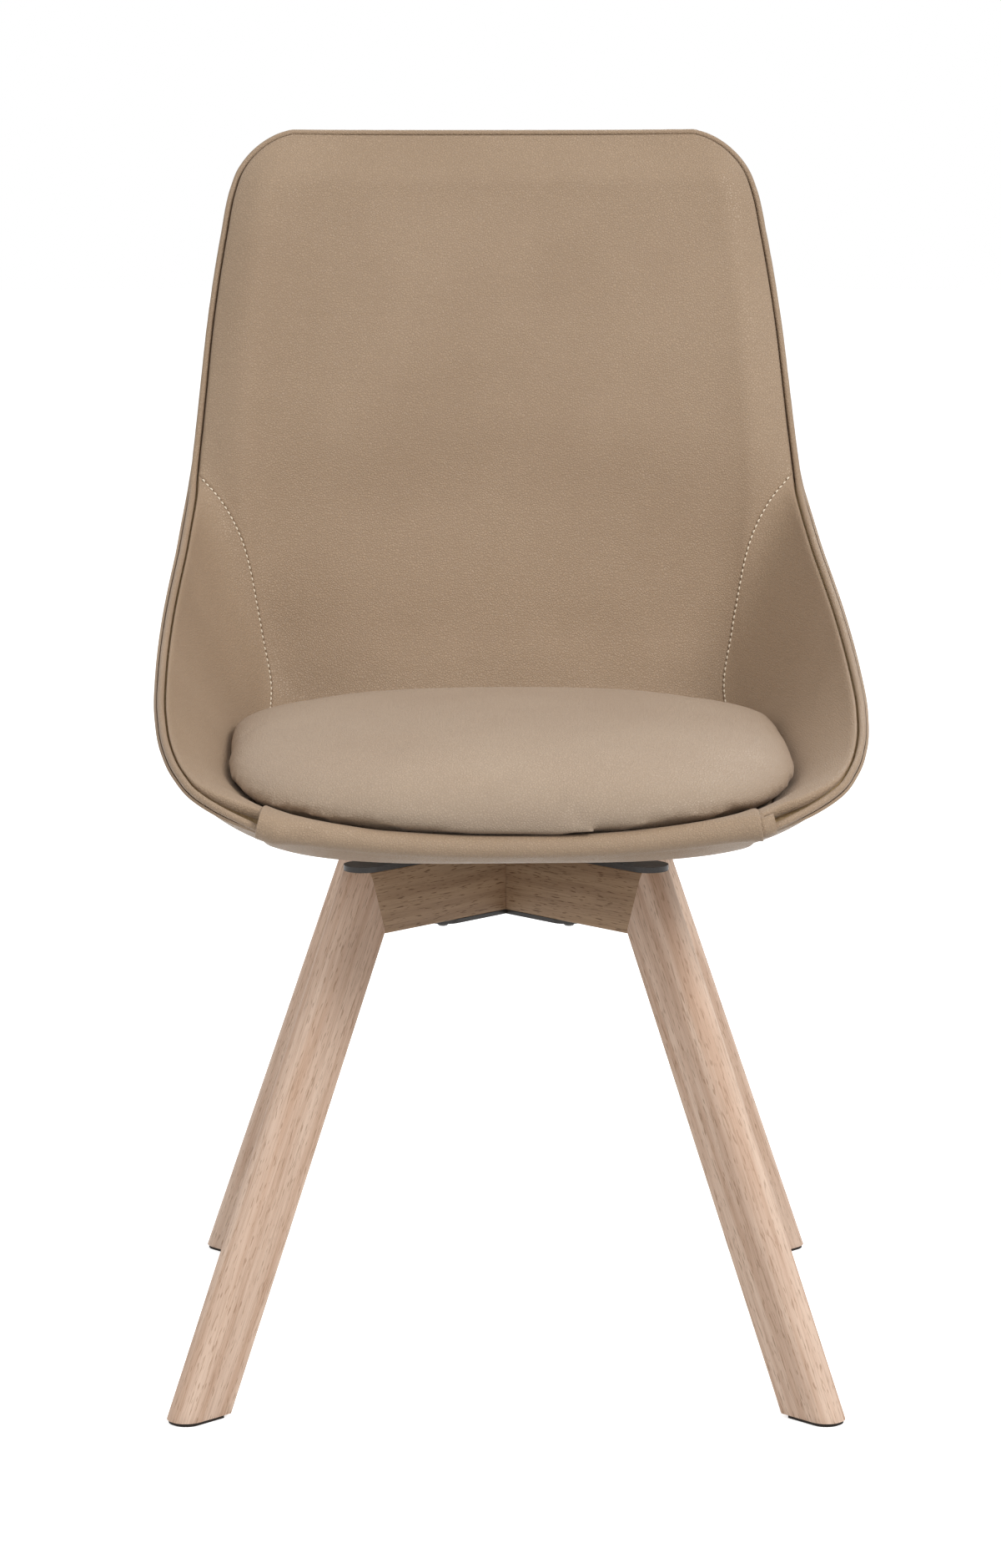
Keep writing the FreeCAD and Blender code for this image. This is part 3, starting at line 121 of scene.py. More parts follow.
def add_node(tree, kind, settings=None, inputs=None, links=None):
    """A node of one kind, with settings as attributes, input values by name, and links from other sockets."""
    node = tree.nodes.new(kind)
    for key, value in (settings or {}).items():
        setattr(node, key, value)
    for key, value in (inputs or {}).items():
        node.inputs[key].default_value = value
    for key, socket in (links or {}).items():
        tree.links.new(socket, node.inputs[key])
    return node


def new_material(name, **surface):
    """An empty material with its shader, whose plain values are set by name."""
    material = bpy.data.materials.new(name)
    material.use_nodes = True
    tree = material.node_tree
    tree.nodes.clear()
    shader = add_node(tree, "ShaderNodeBsdfPrincipled", inputs=surface)
    add_node(tree, "ShaderNodeOutputMaterial", links={"Surface": shader.outputs[0]})
    return material, tree, shader


def set_ramp(node, *stops):
    """Give a colour ramp its stops, as pairs of a place from 0 to 1 and a colour."""
    elements = node.color_ramp.elements
    while len(elements) < len(stops):
        elements.new(1.0)
    for element, (place, colour) in zip(elements, stops):
        element.position = place
        element.color = colour
    return node


print("mid grey #808080 is", round(linear("#808080")[0], 3), "in linear values")

# %% [markdown]
# ### Taupe leatherette
#
# The cover is a coated fabric, embossed with a fine leather grain and finished satin. The grain is a net of
# small cells about 1.8 mm across, with soft creases over it some centimetres long. The coating is a touch
# lighter on the cells than between them, and a little uneven over the whole hide.
# The cushion has its own copy, a touch paler as painted light on its top and darker low down as painted shade.

# %% Leatherette
def make_leatherette(name, high, low, valley, grain_mm=1.8, grain_strength=0.55, painted_shade=(0.0, 0.001, 1.0)):
    """Colour drifts slowly between two near tones; a net of cells gives the grain its bump and dark valleys.
    The last argument gives two heights in metres and how much light is left at the lower one, as painted shade."""
    material, tree, shader = new_material(
        name, **{"Roughness": 0.46, "IOR": 1.47, "Sheen Weight": 0.12, "Sheen Roughness": 0.45})
    place = add_node(tree, "ShaderNodeTexCoord").outputs["Object"]
    drift = add_node(tree, "ShaderNodeTexNoise", inputs={"Scale": 9.0, "Detail": 3.0}, links={"Vector": place})
    tone = set_ramp(
        add_node(tree, "ShaderNodeValToRGB", links={"Fac": drift.outputs["Fac"]}),
        (0.35, linear(low)), (0.65, linear(high)))
    wobble = add_node(tree, "ShaderNodeTexNoise", inputs={"Scale": 420.0, "Detail": 2.0}, links={"Vector": place})
    bent = add_node(tree, "ShaderNodeMixRGB", {"blend_type": "LINEAR_LIGHT"}, {"Fac": 0.0009},
                    {"Color1": place, "Color2": wobble.outputs["Color"]})
    cells = add_node(tree, "ShaderNodeTexVoronoi", {"feature": "DISTANCE_TO_EDGE"},
                     {"Scale": 1000.0 / grain_mm, "Randomness": 1.0}, {"Vector": bent.outputs[0]})
    net = set_ramp(
        add_node(tree, "ShaderNodeValToRGB", links={"Fac": cells.outputs["Distance"]}),
        (0.0, (0, 0, 0, 1)), (0.22, (1, 1, 1, 1)))
    colour = add_node(tree, "ShaderNodeMixRGB", {"blend_type": "MIX"}, {"Color1": linear(valley)},
                      {"Color2": tone.outputs["Color"]})
    fade = add_node(tree, "ShaderNodeMapRange", inputs={"To Min": 0.72, "To Max": 1.0},
                    links={"Value": net.outputs["Color"]})
    tree.links.new(fade.outputs[0], colour.inputs["Fac"])
    creases = add_node(tree, "ShaderNodeTexNoise", {"normalize": True},
                       {"Scale": 55.0, "Detail": 4.0, "Distortion": 0.6}, {"Vector": place})
    soft = add_node(tree, "ShaderNodeBump", inputs={"Strength": 0.10, "Distance": 0.0016},
                    links={"Height": creases.outputs["Fac"]})
    fine = add_node(tree, "ShaderNodeBump", inputs={"Strength": grain_strength, "Distance": 0.0005},
                    links={"Height": net.outputs["Color"], "Normal": soft.outputs["Normal"]})
    shine = add_node(tree, "ShaderNodeMapRange", inputs={"To Min": 0.40, "To Max": 0.54},
                     links={"Value": creases.outputs["Fac"]})
    # Painted shade: the colour is multiplied darker towards the bottom, by the height in object space.
    height = add_node(tree, "ShaderNodeSeparateXYZ", links={"Vector": place})
    light = add_node(tree, "ShaderNodeMapRange", {"interpolation_type": "SMOOTHSTEP"},
                     {"From Min": painted_shade[0], "From Max": painted_shade[1], "To Min": painted_shade[2], "To Max": 1.0},
                     {"Value": height.outputs["Z"]})
    shaded = add_node(tree, "ShaderNodeMixRGB", {"blend_type": "MULTIPLY"}, {"Fac": 1.0},
                      {"Color1": colour.outputs[0], "Color2": light.outputs[0]})
    tree.links.new(shaded.outputs[0], shader.inputs["Base Color"])
    tree.links.new(shine.outputs[0], shader.inputs["Roughness"])
    tree.links.new(fine.outputs["Normal"], shader.inputs["Normal"])
    return material


# Painted shade on the cushion: its colour darkens below 0.466 m, down to 76 percent at 0.426 m.
CUSHION_PAINTED_SHADE = (0.426, 0.466, 0.76)

taupe_leatherette = make_leatherette("taupe_leatherette", "#AC9379", "#A58C72", "#806852")
# The cushion's copy is paler than the taupe leatherette as painted light on its top, with painted shade low down.
painted_light_cushion_leatherette = make_leatherette("painted_light_cushion_leatherette", "#BAA48D", "#B49D86", "#8C7560",
                                       painted_shade=CUSHION_PAINTED_SHADE)
thread, _, _ = new_material("polyester_thread", **{
    "Base Color": linear("#EADBC4"), "Roughness": 0.55, "Sheen Weight": 0.2})
print("leatherette ready")

# %% [markdown]
# ### Whitewashed oak
#
# Oak has long open pores along the grain, faint bands of earlywood and latewood some millimetres wide, and short
# ray flecks. The wood was brushed, rubbed with a white wash and sealed matt, so the pores hold a little more
# colour and the rest is milky. The grain follows each stick, so every wooden piece carries its own place along
# and across the stick as an attribute, and the patterns are stretched along it.

# %% Oak
def make_oak(name, pale, mid, pore, smudge, fleck_amount):
    """Fibres are noise stretched along the stick, bands are a wave across it, flecks are short dark dashes."""
    material, tree, shader = new_material(name, **{"Roughness": 0.55, "IOR": 1.5, "Specular IOR Level": 0.35})
    place = add_node(tree, "ShaderNodeAttribute", {"attribute_name": "grain_place"}).outputs["Vector"]

    def stretched(along_mm, across_mm, detail, distortion=0.0):
        scale = (1000.0 / along_mm, 1000.0 / across_mm, 1000.0 / across_mm)
        mapped = add_node(tree, "ShaderNodeMapping", inputs={"Scale": scale}, links={"Vector": place})
        noise = add_node(tree, "ShaderNodeTexNoise",
                         inputs={"Scale": 1.0, "Detail": detail, "Distortion": distortion},
                         links={"Vector": mapped.outputs[0]})
        return noise.outputs["Fac"]

    bands = set_ramp(
        add_node(tree, "ShaderNodeValToRGB", links={"Fac": stretched(260.0, 7.0, 2.0, 0.4)}),
        (0.36, linear(mid)), (0.62, linear(pale)))
    blush = add_node(tree, "ShaderNodeMixRGB", {"blend_type": "MIX"}, {"Color2": linear(smudge)},
                     {"Color1": bands.outputs["Color"]})
    cloud = add_node(tree, "ShaderNodeMapRange", inputs={"From Min": 0.52, "From Max": 0.8, "To Max": 0.45},
                     links={"Value": stretched(120.0, 28.0, 3.0)})
    tree.links.new(cloud.outputs[0], blush.inputs["Fac"])
    fibre = add_node(tree, "ShaderNodeMapRange", inputs={"From Min": 0.47, "From Max": 0.72, "To Max": 0.42},
                     links={"Value": stretched(34.0, 0.9, 4.0)})
    streaked = add_node(tree, "ShaderNodeMixRGB", {"blend_type": "MIX"}, {"Color2": linear(pore)},
                        {"Fac": fibre.outputs[0], "Color1": blush.outputs[0]})
    fleck = add_node(tree, "ShaderNodeMapRange",
                     inputs={"From Min": 0.60, "From Max": 0.68, "To Max": fleck_amount},
                     links={"Value": stretched(9.0, 1.1, 1.0)})
    flecked = add_node(tree, "ShaderNodeMixRGB", {"blend_type": "MIX"}, {"Color2": linear(pore)},
                       {"Fac": fleck.outputs[0], "Color1": streaked.outputs[0]})
    grain = add_node(tree, "ShaderNodeBump", {"invert": True}, {"Strength": 0.25, "Distance": 0.0003},
                     {"Height": fibre.outputs[0]})
    tree.links.new(flecked.outputs[0], shader.inputs["Base Color"])
    tree.links.new(grain.outputs["Normal"], shader.inputs["Normal"])
    return material


leg_oak = make_oak("whitewashed_oak_legs", "#E6CBB6", "#D0AF97", "#9C795E", "#BE9B84", 0.55)
arm_oak = make_oak("whitewashed_oak_arms", "#B6987A", "#A4866A", "#6E5239", "#AE927A", 0.85)
print("oak ready")

# %% [markdown]
# ### Steel, plastic and felt
#
# The brackets are steel with a satin black powder coat, which dries to a fine orange peel. The bearing and the
# fastenings inside are zinc plated. The glides under the feet are dark felt on moulded plastic.

# %% Hard finishes
def make_speckled(name, colour, other, roughness, metallic, speck_mm, depth, bump):
    """A plain finish with a fine speckle of two near tones and the same speckle as bump."""
    material, tree, shader = new_material(name, **{"Roughness": roughness, "Metallic": metallic})
    place = add_node(tree, "ShaderNodeTexCoord").outputs["Object"]
    speck = add_node(tree, "ShaderNodeTexNoise", inputs={"Scale": 1000.0 / speck_mm, "Detail": 2.0},
                     links={"Vector": place})
    tone = set_ramp(
        add_node(tree, "ShaderNodeValToRGB", links={"Fac": speck.outputs["Fac"]}),
        (0.4, linear(colour)), (0.6, linear(other)))
    peel = add_node(tree, "ShaderNodeBump", inputs={"Strength": bump, "Distance": depth},
                    links={"Height": speck.outputs["Fac"]})
    tree.links.new(tone.outputs["Color"], shader.inputs["Base Color"])
    tree.links.new(peel.outputs["Normal"], shader.inputs["Normal"])
    return material


powder_coat = make_speckled("black_powder_coat", "#221D19", "#2B2521", 0.42, 0.0, 1.2, 0.0002, 0.25)
zinc_plate = make_speckled("zinc_plated_steel", "#B9BCC0", "#A7AAAE", 0.32, 1.0, 0.8, 0.0001, 0.15)
felt = make_speckled("dark_felt_glide", "#2A2521", "#3A332D", 0.95, 0.0, 0.7, 0.0004, 0.6)
nylon = make_speckled("natural_nylon", "#D9D3C2", "#CFC8B6", 0.5, 0.0, 1.5, 0.0001, 0.1)
plywood = make_speckled("moulded_birch_plywood", "#CDB083", "#BF9F70", 0.6, 0.0, 2.5, 0.0002, 0.3)
foam = make_speckled("seat_foam", "#D8D0B8", "#CCC3A8", 0.9, 0.0, 1.0, 0.0004, 0.5)

FINISHES = {
    "black_steel": powder_coat,
    "zinc_steel": zinc_plate,
    "foot_pad": felt,
    "cage_plastic": nylon,
    "bush_plastic": nylon,
    "plywood": plywood,
    "foam": foam,
    "leatherette": taupe_leatherette,
    "padded_leatherette": taupe_leatherette,
    "dowel_wood": plywood,
    "pale_oak": leg_oak,
    "dark_oak": arm_oak,
}
for part in frame["record"]["subparts"]:
    node = frame["nodes"][part["node"]]
    node.data.materials.clear()
    node.data.materials.append(FINISHES[part["material_slot"]])
print(len(frame["nodes"]), "pieces of the frame have a finish")

# %% [markdown]
# ## The bucket as one formula
#
# The seat and its back are one moulded shell, and its cover, its panels, its piping and its front lip all follow
# it. So the shell's outer face is written once, as a function of two parameters: across runs from -1 at the left
# rim to 1 at the right rim, and up runs from 0 at the front lip, along the seat and up the back, to 1 at the
# top edge. A table of stations gives the shape in real millimetres, and cubic curves run through the stations.

# %% Stations of the bucket
# middle y, middle z, rim y, rim z, half width, flat share, power of the rise, padding share
STATIONS = np.array([
    (-241.0, 8.2, -236.0, 20.7, 171.4, 0.00, 2.0, 0.00),
    (-232.0, 3.8, -227.0, 32.2, 202.7, 0.10, 2.4, 0.00),
    (-218.0, 1.0, -212.0, 43.3, 224.8, 0.25, 2.6, 0.00),
    (-196.0, 0.0, -192.0, 54.4, 237.5, 0.40, 2.8, 0.00),
    (-160.0, 0.0, -162.0, 67.3, 246.9, 0.45, 3.0, 0.00),
    (-105.0, 0.0, -114.0, 85.6, 253.0, 0.50, 3.2, 0.00),
    (-40.0, 0.0, -66.0, 102.9, 254.3, 0.50, 3.4, 0.00),
    (35.1, 0.0, -18.0, 121.2, 253.5, 0.50, 3.6, 0.00),
    (100.1, 0.0, 29.9, 140.9, 251.0, 0.48, 3.9, 0.10),
    (149.9, 12.0, 69.9, 157.8, 247.7, 0.45, 4.3, 0.50),
    (184.0, 40.9, 108.1, 175.1, 243.9, 0.42, 4.8, 0.90),
    (200.0, 88.0, 141.1, 191.0, 241.1, 0.40, 5.2, 1.00),
    (209.0, 144.8, 168.0, 205.9, 238.3, 0.36, 5.2, 1.00),
    (217.0, 200.1, 187.1, 217.9, 236.2, 0.30, 4.8, 1.00),
    (221.9, 244.8, 197.9, 240.0, 232.7, 0.27, 4.2, 1.00),
    (228.1, 290.0, 207.9, 288.1, 226.6, 0.24, 3.6, 0.90),
    (236.1, 344.9, 221.1, 343.0, 219.5, 0.20, 3.2, 0.75),
    (245.1, 405.0, 234.0, 404.0, 209.0, 0.15, 3.0, 0.50),
    (251.0, 438.2, 242.0, 437.2, 201.7, 0.12, 2.8, 0.40),
])
HEIGHT = 481.0
BACK_REACH = 258.0
TOP_CORNER = 46.0
SEAT_HEIGHT = 399.3
SEAT_TURN = math.radians(2.2)
SPREAD = 1.45


def with_top_corners(rows):
    """The stations with the round top corners added: the half width runs in along an arc that ends just short of
    level, so that the sides still meet the top edge at an angle."""
    last = rows[-1]
    narrowing = (last[4] - rows[-2, 4]) / (last[3] - rows[-2, 3])
    turn = np.radians([20, 38, 54, 68, 78])
    height = HEIGHT + TOP_CORNER * (np.sin(turn) - np.sin(turn[-1]))
    share = (height - last[3]) / (HEIGHT - last[3])
    half = last[4] + narrowing * (height - last[3]) - TOP_CORNER * (1 - np.cos(turn))
    middle_y = last[0] + share * (BACK_REACH - last[0])
    rim_y = last[2] + share * (BACK_REACH - 1.0 - last[2])
    same = np.tile(last[5:], (len(turn), 1))
    return np.vstack([rows, np.column_stack([middle_y, height, rim_y, height, half, same])])


ROWS = with_top_corners(STATIONS)
STEPS = np.diff(ROWS, axis=0)
RUN = np.hypot(STEPS[:, 2], STEPS[:, 3]) + np.hypot(STEPS[:, 0], STEPS[:, 1]) + np.abs(STEPS[:, 4])
PLACES = np.concatenate([[0.0], np.cumsum(RUN)]) / RUN.sum()


# %% Curves through the stations
def station_slopes():
    """At each station the mean of the two neighbouring chords, weighted by length, and held to three times the
    smaller chord, so that a curve between level stations stays level."""
    span = np.diff(PLACES)[:, None]
    chord = STEPS / span
    before, after = chord[:-1], chord[1:]
    mean = (before * span[1:] + after * span[:-1]) / (span[1:] + span[:-1])
    steepest = 3 * np.minimum(np.abs(before), np.abs(after))
    level = np.where(before * after <= 0, 0.0, np.sign(mean) * np.minimum(np.abs(mean), steepest))
    return np.vstack([chord[:1], level, chord[-1:]])


SLOPES = station_slopes()


def station_at(up):
    """Every station value at the places up, on Hermite cubics: the usual four blends of two ends and slopes."""
    up = np.clip(up, 0.0, 1.0)
    index = np.clip(np.searchsorted(PLACES, up, side="right") - 1, 0, len(PLACES) - 2)
    span = (PLACES[index + 1] - PLACES[index])[..., None]
    t = (up - PLACES[index])[..., None] / span
    return (
        (2 * t**3 - 3 * t**2 + 1) * ROWS[index] + (t**3 - 2 * t**2 + t) * span * SLOPES[index]
        + (3 * t**2 - 2 * t**3) * ROWS[index + 1] + (t**3 - t**2) * span * SLOPES[index + 1])


print(len(ROWS), "stations; half width from", round(ROWS[:, 4].min(), 1), "to", ROWS[:, 4].max())


# %% Outer face, inward normal and padding
def outer(across, up):
    """Outer face in mm: flat in the middle of each section, then rising to the rim as a power of the share."""
    across, up = np.broadcast_arrays(np.asarray(across, float), np.asarray(up, float))
    row = station_at(up)
    side = np.sin(SPREAD * across) / math.sin(SPREAD)
    rise = (np.maximum(np.abs(side) - row[..., 5], 0.0) / (1 - row[..., 5])) ** row[..., 6]
    return np.stack([
        row[..., 4] * side,
        row[..., 0] + rise * (row[..., 2] - row[..., 0]),
        row[..., 1] + rise * (row[..., 3] - row[..., 1])], axis=-1)


def unit(vectors):
    """The same directions with length one."""
    return vectors / np.maximum(np.linalg.norm(vectors, axis=-1, keepdims=True), 1e-12)


def inward(across, up):
    """Unit normal towards the sitter: the cross product of the steps across and up, taken just inside the rim."""
    across = np.clip(across, -0.985, 0.985)
    up = np.clip(up, 0.012, 0.988)
    step = 0.004
    sideways = outer(across + step, up) - outer(across - step, up)
    upwards = outer(across, up + step) - outer(across, up - step)
    return unit(np.cross(sideways, upwards))


def smooth(value):
    """A step from 0 to 1 that starts and ends level: 3x squared minus 2x cubed."""
    value = np.clip(value, 0.0, 1.0)
    return value * value * (3 - 2 * value)


RIM_PADDING, SEAT_PADDING, BACK_EXTRA = 10.6, 21.0, 10.0
LIP_PADDING, LIP_SIDE_EXTRA, LIP_STATION = 12.5, 4.5, 3
PILLOW_SHARE, TOP_PILLOW = 0.30, 42.0


def padding(across, up):
    """Whole thickness in mm. It grows from the rim to its full value in a smooth step, and it runs into the
    front lip's own thickness over the first stations."""
    across, up = np.broadcast_arrays(np.asarray(across, float), np.asarray(up, float))
    row = station_at(up)
    full = SEAT_PADDING + row[..., 7] * BACK_EXTRA
    inside = smooth((1 - np.abs(across)) / PILLOW_SHARE) * smooth((HEIGHT - row[..., 1]) / TOP_PILLOW)
    lip = LIP_PADDING + LIP_SIDE_EXTRA * across**2
    body = RIM_PADDING + (full - RIM_PADDING) * inside
    return lip + (body - lip) * smooth(up / PLACES[LIP_STATION])


def at_depth(across, up, depth):
    """Points in mm at a depth below the outer face, towards the sitter."""
    return outer(across, up) + inward(across, up) * np.asarray(depth)[..., None]


def on_chair(points):
    """From millimetres over the underside of the seat to metres in the chair's own frame."""
    c, s = math.cos(SEAT_TURN), math.sin(SEAT_TURN)
    turned = points @ np.array([[c, s, 0], [-s, c, 0], [0, 0, 1]])
    return (turned + np.array([0, 0, SEAT_HEIGHT])) * MM


print("bucket spans", np.round(outer(np.array([-1, 1]), np.array([0.3, 0.3])), 1).tolist())

# %% [markdown]
# ### The outer cover
#
# One skin of leatherette is pulled over the outside of the plywood and ends in a turned edge at the rim. It is
# the outer face itself, given 2 mm of thickness towards the sitter, with its rim edge rounded by a bevel.

# %% Outer cover
COVER_THICKNESS = 2.0
FIRST_ROW = 0.0012


def around_rim(count):
    """Places across the bucket, closer together towards the rims, where the section curves most."""
    t = np.linspace(-1, 1, count)
    return np.sin(t * math.pi / 2) * 0.35 + t * 0.65


def closed_layer(lower, upper):
    """Points and quads of a closed solid between two grids of equal size: both faces, and a strip round them."""
    rows, columns = lower.shape[:2]
    index = np.arange(rows * columns).reshape(rows, columns)
    over = index + rows * columns
    border = np.concatenate([index[0, :-1], index[:-1, -1], index[-1, :0:-1], index[:0:-1, 0]])
    after = np.roll(border, -1)
    strip = np.stack([border, after, after + rows * columns, border + rows * columns], axis=-1)
    faces = np.concatenate([
        grid_quads(rows, columns)[:, ::-1], grid_quads(rows, columns) + rows * columns, strip])
    return np.concatenate([lower.reshape(-1, 3), upper.reshape(-1, 3)]), faces


def round_edges(piece, width):
    """Round the sharp edges of a piece with a bevel, width in mm."""
    bevel = piece.modifiers.new("round_edges", "BEVEL")
    bevel.width = width * MM
    bevel.segments = 3
    bevel.limit_method = "ANGLE"
    bevel.angle_limit = math.radians(50)
    apply_modifiers(piece)


def make_outer_cover():
    """The outer face and the same face one thickness further in, joined round the rim."""
    across, up = np.meshgrid(around_rim(121), np.linspace(FIRST_ROW, 1.0, 261))
    skin = [at_depth(across, up, np.full_like(up, depth)) for depth in (0.0, COVER_THICKNESS)]
    points, faces = closed_layer(*skin)
    piece = add_piece("outer_leatherette", new_mesh("outer_leatherette", on_chair(points), faces),
                      "seat", taupe_leatherette, ["outer_cover"])
    round_edges(piece, 0.9)


make_outer_cover()

# %% [markdown]
# ### The padded panels
#
# Inside, a back panel, two wing panels and the seat deck are sewn to each other. Along a seam the leatherette
# dips in a narrow groove and rolls up out of it, and at the rim it rolls down to the piping. Each panel is a
# closed layer over the plywood whose upper face dips near its edges by a quarter-round, worked out from the real
# distance to each edge.

# %% Seams between the panels
SEAM = np.array([
    (0.440, 0.600), (0.450, 0.600), (0.482, 0.610), (0.526, 0.632), (0.550, 0.655), (0.575, 0.685),
    (0.597, 0.730), (0.616, 0.800), (0.637, 0.885), (0.664, 0.985), (0.672, 1.010)])
DECK_END, DECK_SIDE, SEAM_GAP = 0.44, 0.60, 0.0004
PANEL_DEPTH, RIM_ROOM = 8.4, 2.3


def near_rim(up, room):
    """How far across a line lies that keeps its distance in mm from the rim, measured to the nearest point."""
    side = np.linspace(0, 1, 1500)
    rim = np.concatenate([outer(np.ones(1500), side), outer(np.linspace(0.2, 1, 500), np.ones(500))])
    across = np.linspace(1.0, 0.5, 160)
    result = []
    for row in np.asarray(up):
        steps = outer(across, np.full(160, row))
        far = np.sqrt(((steps[:, None] - rim[None]) ** 2).sum(-1).min(axis=1))
        result.append(np.interp(room, np.maximum.accumulate(far), across))
    return np.array(result)


def seam_at(up):
    """How far across the seam lies: a shape-preserving line through its points, smoothed by averaging."""
    offsets = np.linspace(-0.012, 0.012, 9)
    return np.interp(np.asarray(up)[..., None] + offsets, SEAM[:, 0], SEAM[:, 1]).mean(axis=-1)


def run_length(points, axis):
    """Running length along one axis of a grid, starting at 0."""
    steps = np.linalg.norm(np.diff(points, axis=axis), axis=-1)
    pad = [(0, 0), (0, 0)]
    pad[axis] = (1, 0)
    return np.pad(np.cumsum(steps, axis=axis), pad)


def roll(distance, radius, drop):
    """How far a surface lies below its full height near an edge: a quarter ellipse, drop deep and radius wide."""
    share = np.clip(1 - distance / radius, 0.0, 1.0)
    return drop * (1 - np.sqrt(np.maximum(1 - share**2, 0.0)))


def make_panel(name, ups, lefts, rights, edges, stands_for, count):
    """A panel between two lines across the bucket. edges gives (radius, drop) for its left, right, low and
    high edge, in mm."""
    share = (around_rim(count) + 1) / 2
    up = np.repeat(ups[:, None], count, axis=1)
    across = lefts[:, None] + (rights - lefts)[:, None] * share
    full = padding(across, up)
    face = at_depth(across, up, full)
    along, over = run_length(face, 1), run_length(face, 0)
    distances = (along, along[:, -1:] - along, over, over[-1:] - over)
    dip = sum(roll(distance, *edge) for distance, edge in zip(distances, edges) if edge)
    lower = at_depth(across, up, PANEL_DEPTH + 0 * up)
    upper = at_depth(across, up, np.maximum(full - dip, PANEL_DEPTH + 0.3))
    points, faces = closed_layer(lower, upper)
    return add_piece(name, new_mesh(name, on_chair(points), faces), "seat", taupe_leatherette, stands_for)


SEAM_ROLL = (4.0, 1.2)
RIM_ROLL = (5.5, 1.8)
FLAT_JOIN = (3.0, 1.0)
TOP_ROW = 1 - 0.01 * RIM_ROOM / np.linalg.norm(outer(0.0, 1.0) - outer(0.0, 0.99))
ups = np.concatenate([np.linspace(DECK_END, 0.70, 150), np.linspace(0.70, 0.96, 100)[1:],
                      np.linspace(0.96, TOP_ROW, 50)[1:]])
edge = np.minimum(seam_at(ups), near_rim(ups, RIM_ROOM)) - SEAM_GAP
make_panel("back_leatherette", ups, -edge, edge, (SEAM_ROLL, SEAM_ROLL, FLAT_JOIN, RIM_ROLL), ["back_panel"], 141)

# %% The two wings and the deck
ups = np.concatenate([np.linspace(FIRST_ROW, 0.06, 50), np.linspace(0.06, 0.664, 210)[1:]])
rim = near_rim(ups, RIM_ROOM)
inner = np.minimum(np.where(ups < DECK_END, DECK_SIDE, seam_at(ups)) + SEAM_GAP, rim - 0.002)
make_panel("wing_leatherette_left", ups, -rim, -inner, (RIM_ROLL, SEAM_ROLL, None, None), ["side_panel_left"], 71)
make_panel("wing_leatherette_right", ups, inner, rim, (SEAM_ROLL, RIM_ROLL, None, None), ["side_panel_right"], 71)
ups = np.linspace(FIRST_ROW, DECK_END, 150)
edge = np.full(len(ups), DECK_SIDE - SEAM_GAP)
make_panel("deck_leatherette", ups, -edge, edge, (SEAM_ROLL, SEAM_ROLL, None, FLAT_JOIN), ["deck_pad"], 61)

# %% [markdown]
# ### Piping round the rim
#
# The piping is a cord wrapped in leatherette and sewn into the rim between cover and panels. It is a tube of
# 5 mm, carried along the rim: at every point of the path a circle lies square to the path. The wrapping
# puckers a little round the bends, so the radius varies by some hundredths along the tube.


# %% Piping
PIPING_RADIUS, PIPING_DEPTH = 2.5, 5.3


def tube(path, radius, sides, first):
    """Rings of points round a path: each ring lies square to the path, in a frame carried along by two cross
    products with a steady direction for every point."""
    ahead = unit(np.gradient(path, axis=0))
    sideways = unit(np.cross(ahead, first))
    upward = np.cross(sideways, ahead)
    turn = np.linspace(0, 2 * math.pi, sides, endpoint=False)
    radius = np.broadcast_to(radius, (len(path),))[:, None, None]
    return path[:, None] + radius * (
        np.cos(turn)[None, :, None] * sideways[:, None] + np.sin(turn)[None, :, None] * upward[:, None])


def closed_tube(rings):
    """Points and faces of a tube with both ends closed by a fan round an added middle point."""
    count, sides = rings.shape[:2]
    points = np.concatenate([rings.reshape(-1, 3), rings[0].mean(0)[None], rings[-1].mean(0)[None]])
    ring = np.arange(sides)
    after = np.roll(ring, -1)
    start = np.stack([np.full(sides, count * sides), ring, after], axis=-1)
    last = (count - 1) * sides
    end = np.stack([np.full(sides, count * sides + 1), last + after, last + ring], axis=-1)
    return points, grid_quads(count, sides, around=True)[:, ::-1], np.concatenate([start, end])


def rim_path(count, start):
    """Points along the rim from the band's left end round the top to its right end, evenly spaced, with the
    inward normal and the running length."""
    side = start + (1 - start) * np.linspace(0, 1, 3000) ** 1.25
    across = np.concatenate([np.full(3000, -1.0), np.linspace(-1, 1, 801)[1:-1], np.full(3000, 1.0)])
    up = np.concatenate([side, np.ones(799), side[::-1]])
    points = outer(across, up)
    length = np.concatenate([[0.0], np.cumsum(np.linalg.norm(np.diff(points, axis=0), axis=1))])
    even = np.linspace(0, length[-1], count)
    normals = inward(across, up)
    spaced = np.stack([np.interp(even, length, points[:, k]) for k in range(3)], axis=-1)
    normal = unit(np.stack([np.interp(even, length, normals[:, k]) for k in range(3)], axis=-1))
    for _ in range(12):
        normal[1:-1] = unit(normal[:-2] + 2 * normal[1:-1] + normal[2:])
    return spaced, normal, even


def make_piping():
    """A tube whose middle lies right under the rim. Its ends run under the band. The pucker is a fine wave that
    comes and goes, and a slow one."""
    rim_points, normal, length = rim_path(900, 0.0)
    pucker = 0.05 * np.sin(length / 2.9) * np.sin(length / 37.0) ** 2 + 0.04 * np.sin(length / 61.0)
    points, quads, fans = closed_tube(
        tube(rim_points + normal * PIPING_DEPTH, PIPING_RADIUS + pucker, 14, normal))
    add_piece("edge_piping_cord", new_mesh("edge_piping_cord", on_chair(points), quads, fans), "seat",
              taupe_leatherette, ["edge_piping"])


make_piping()

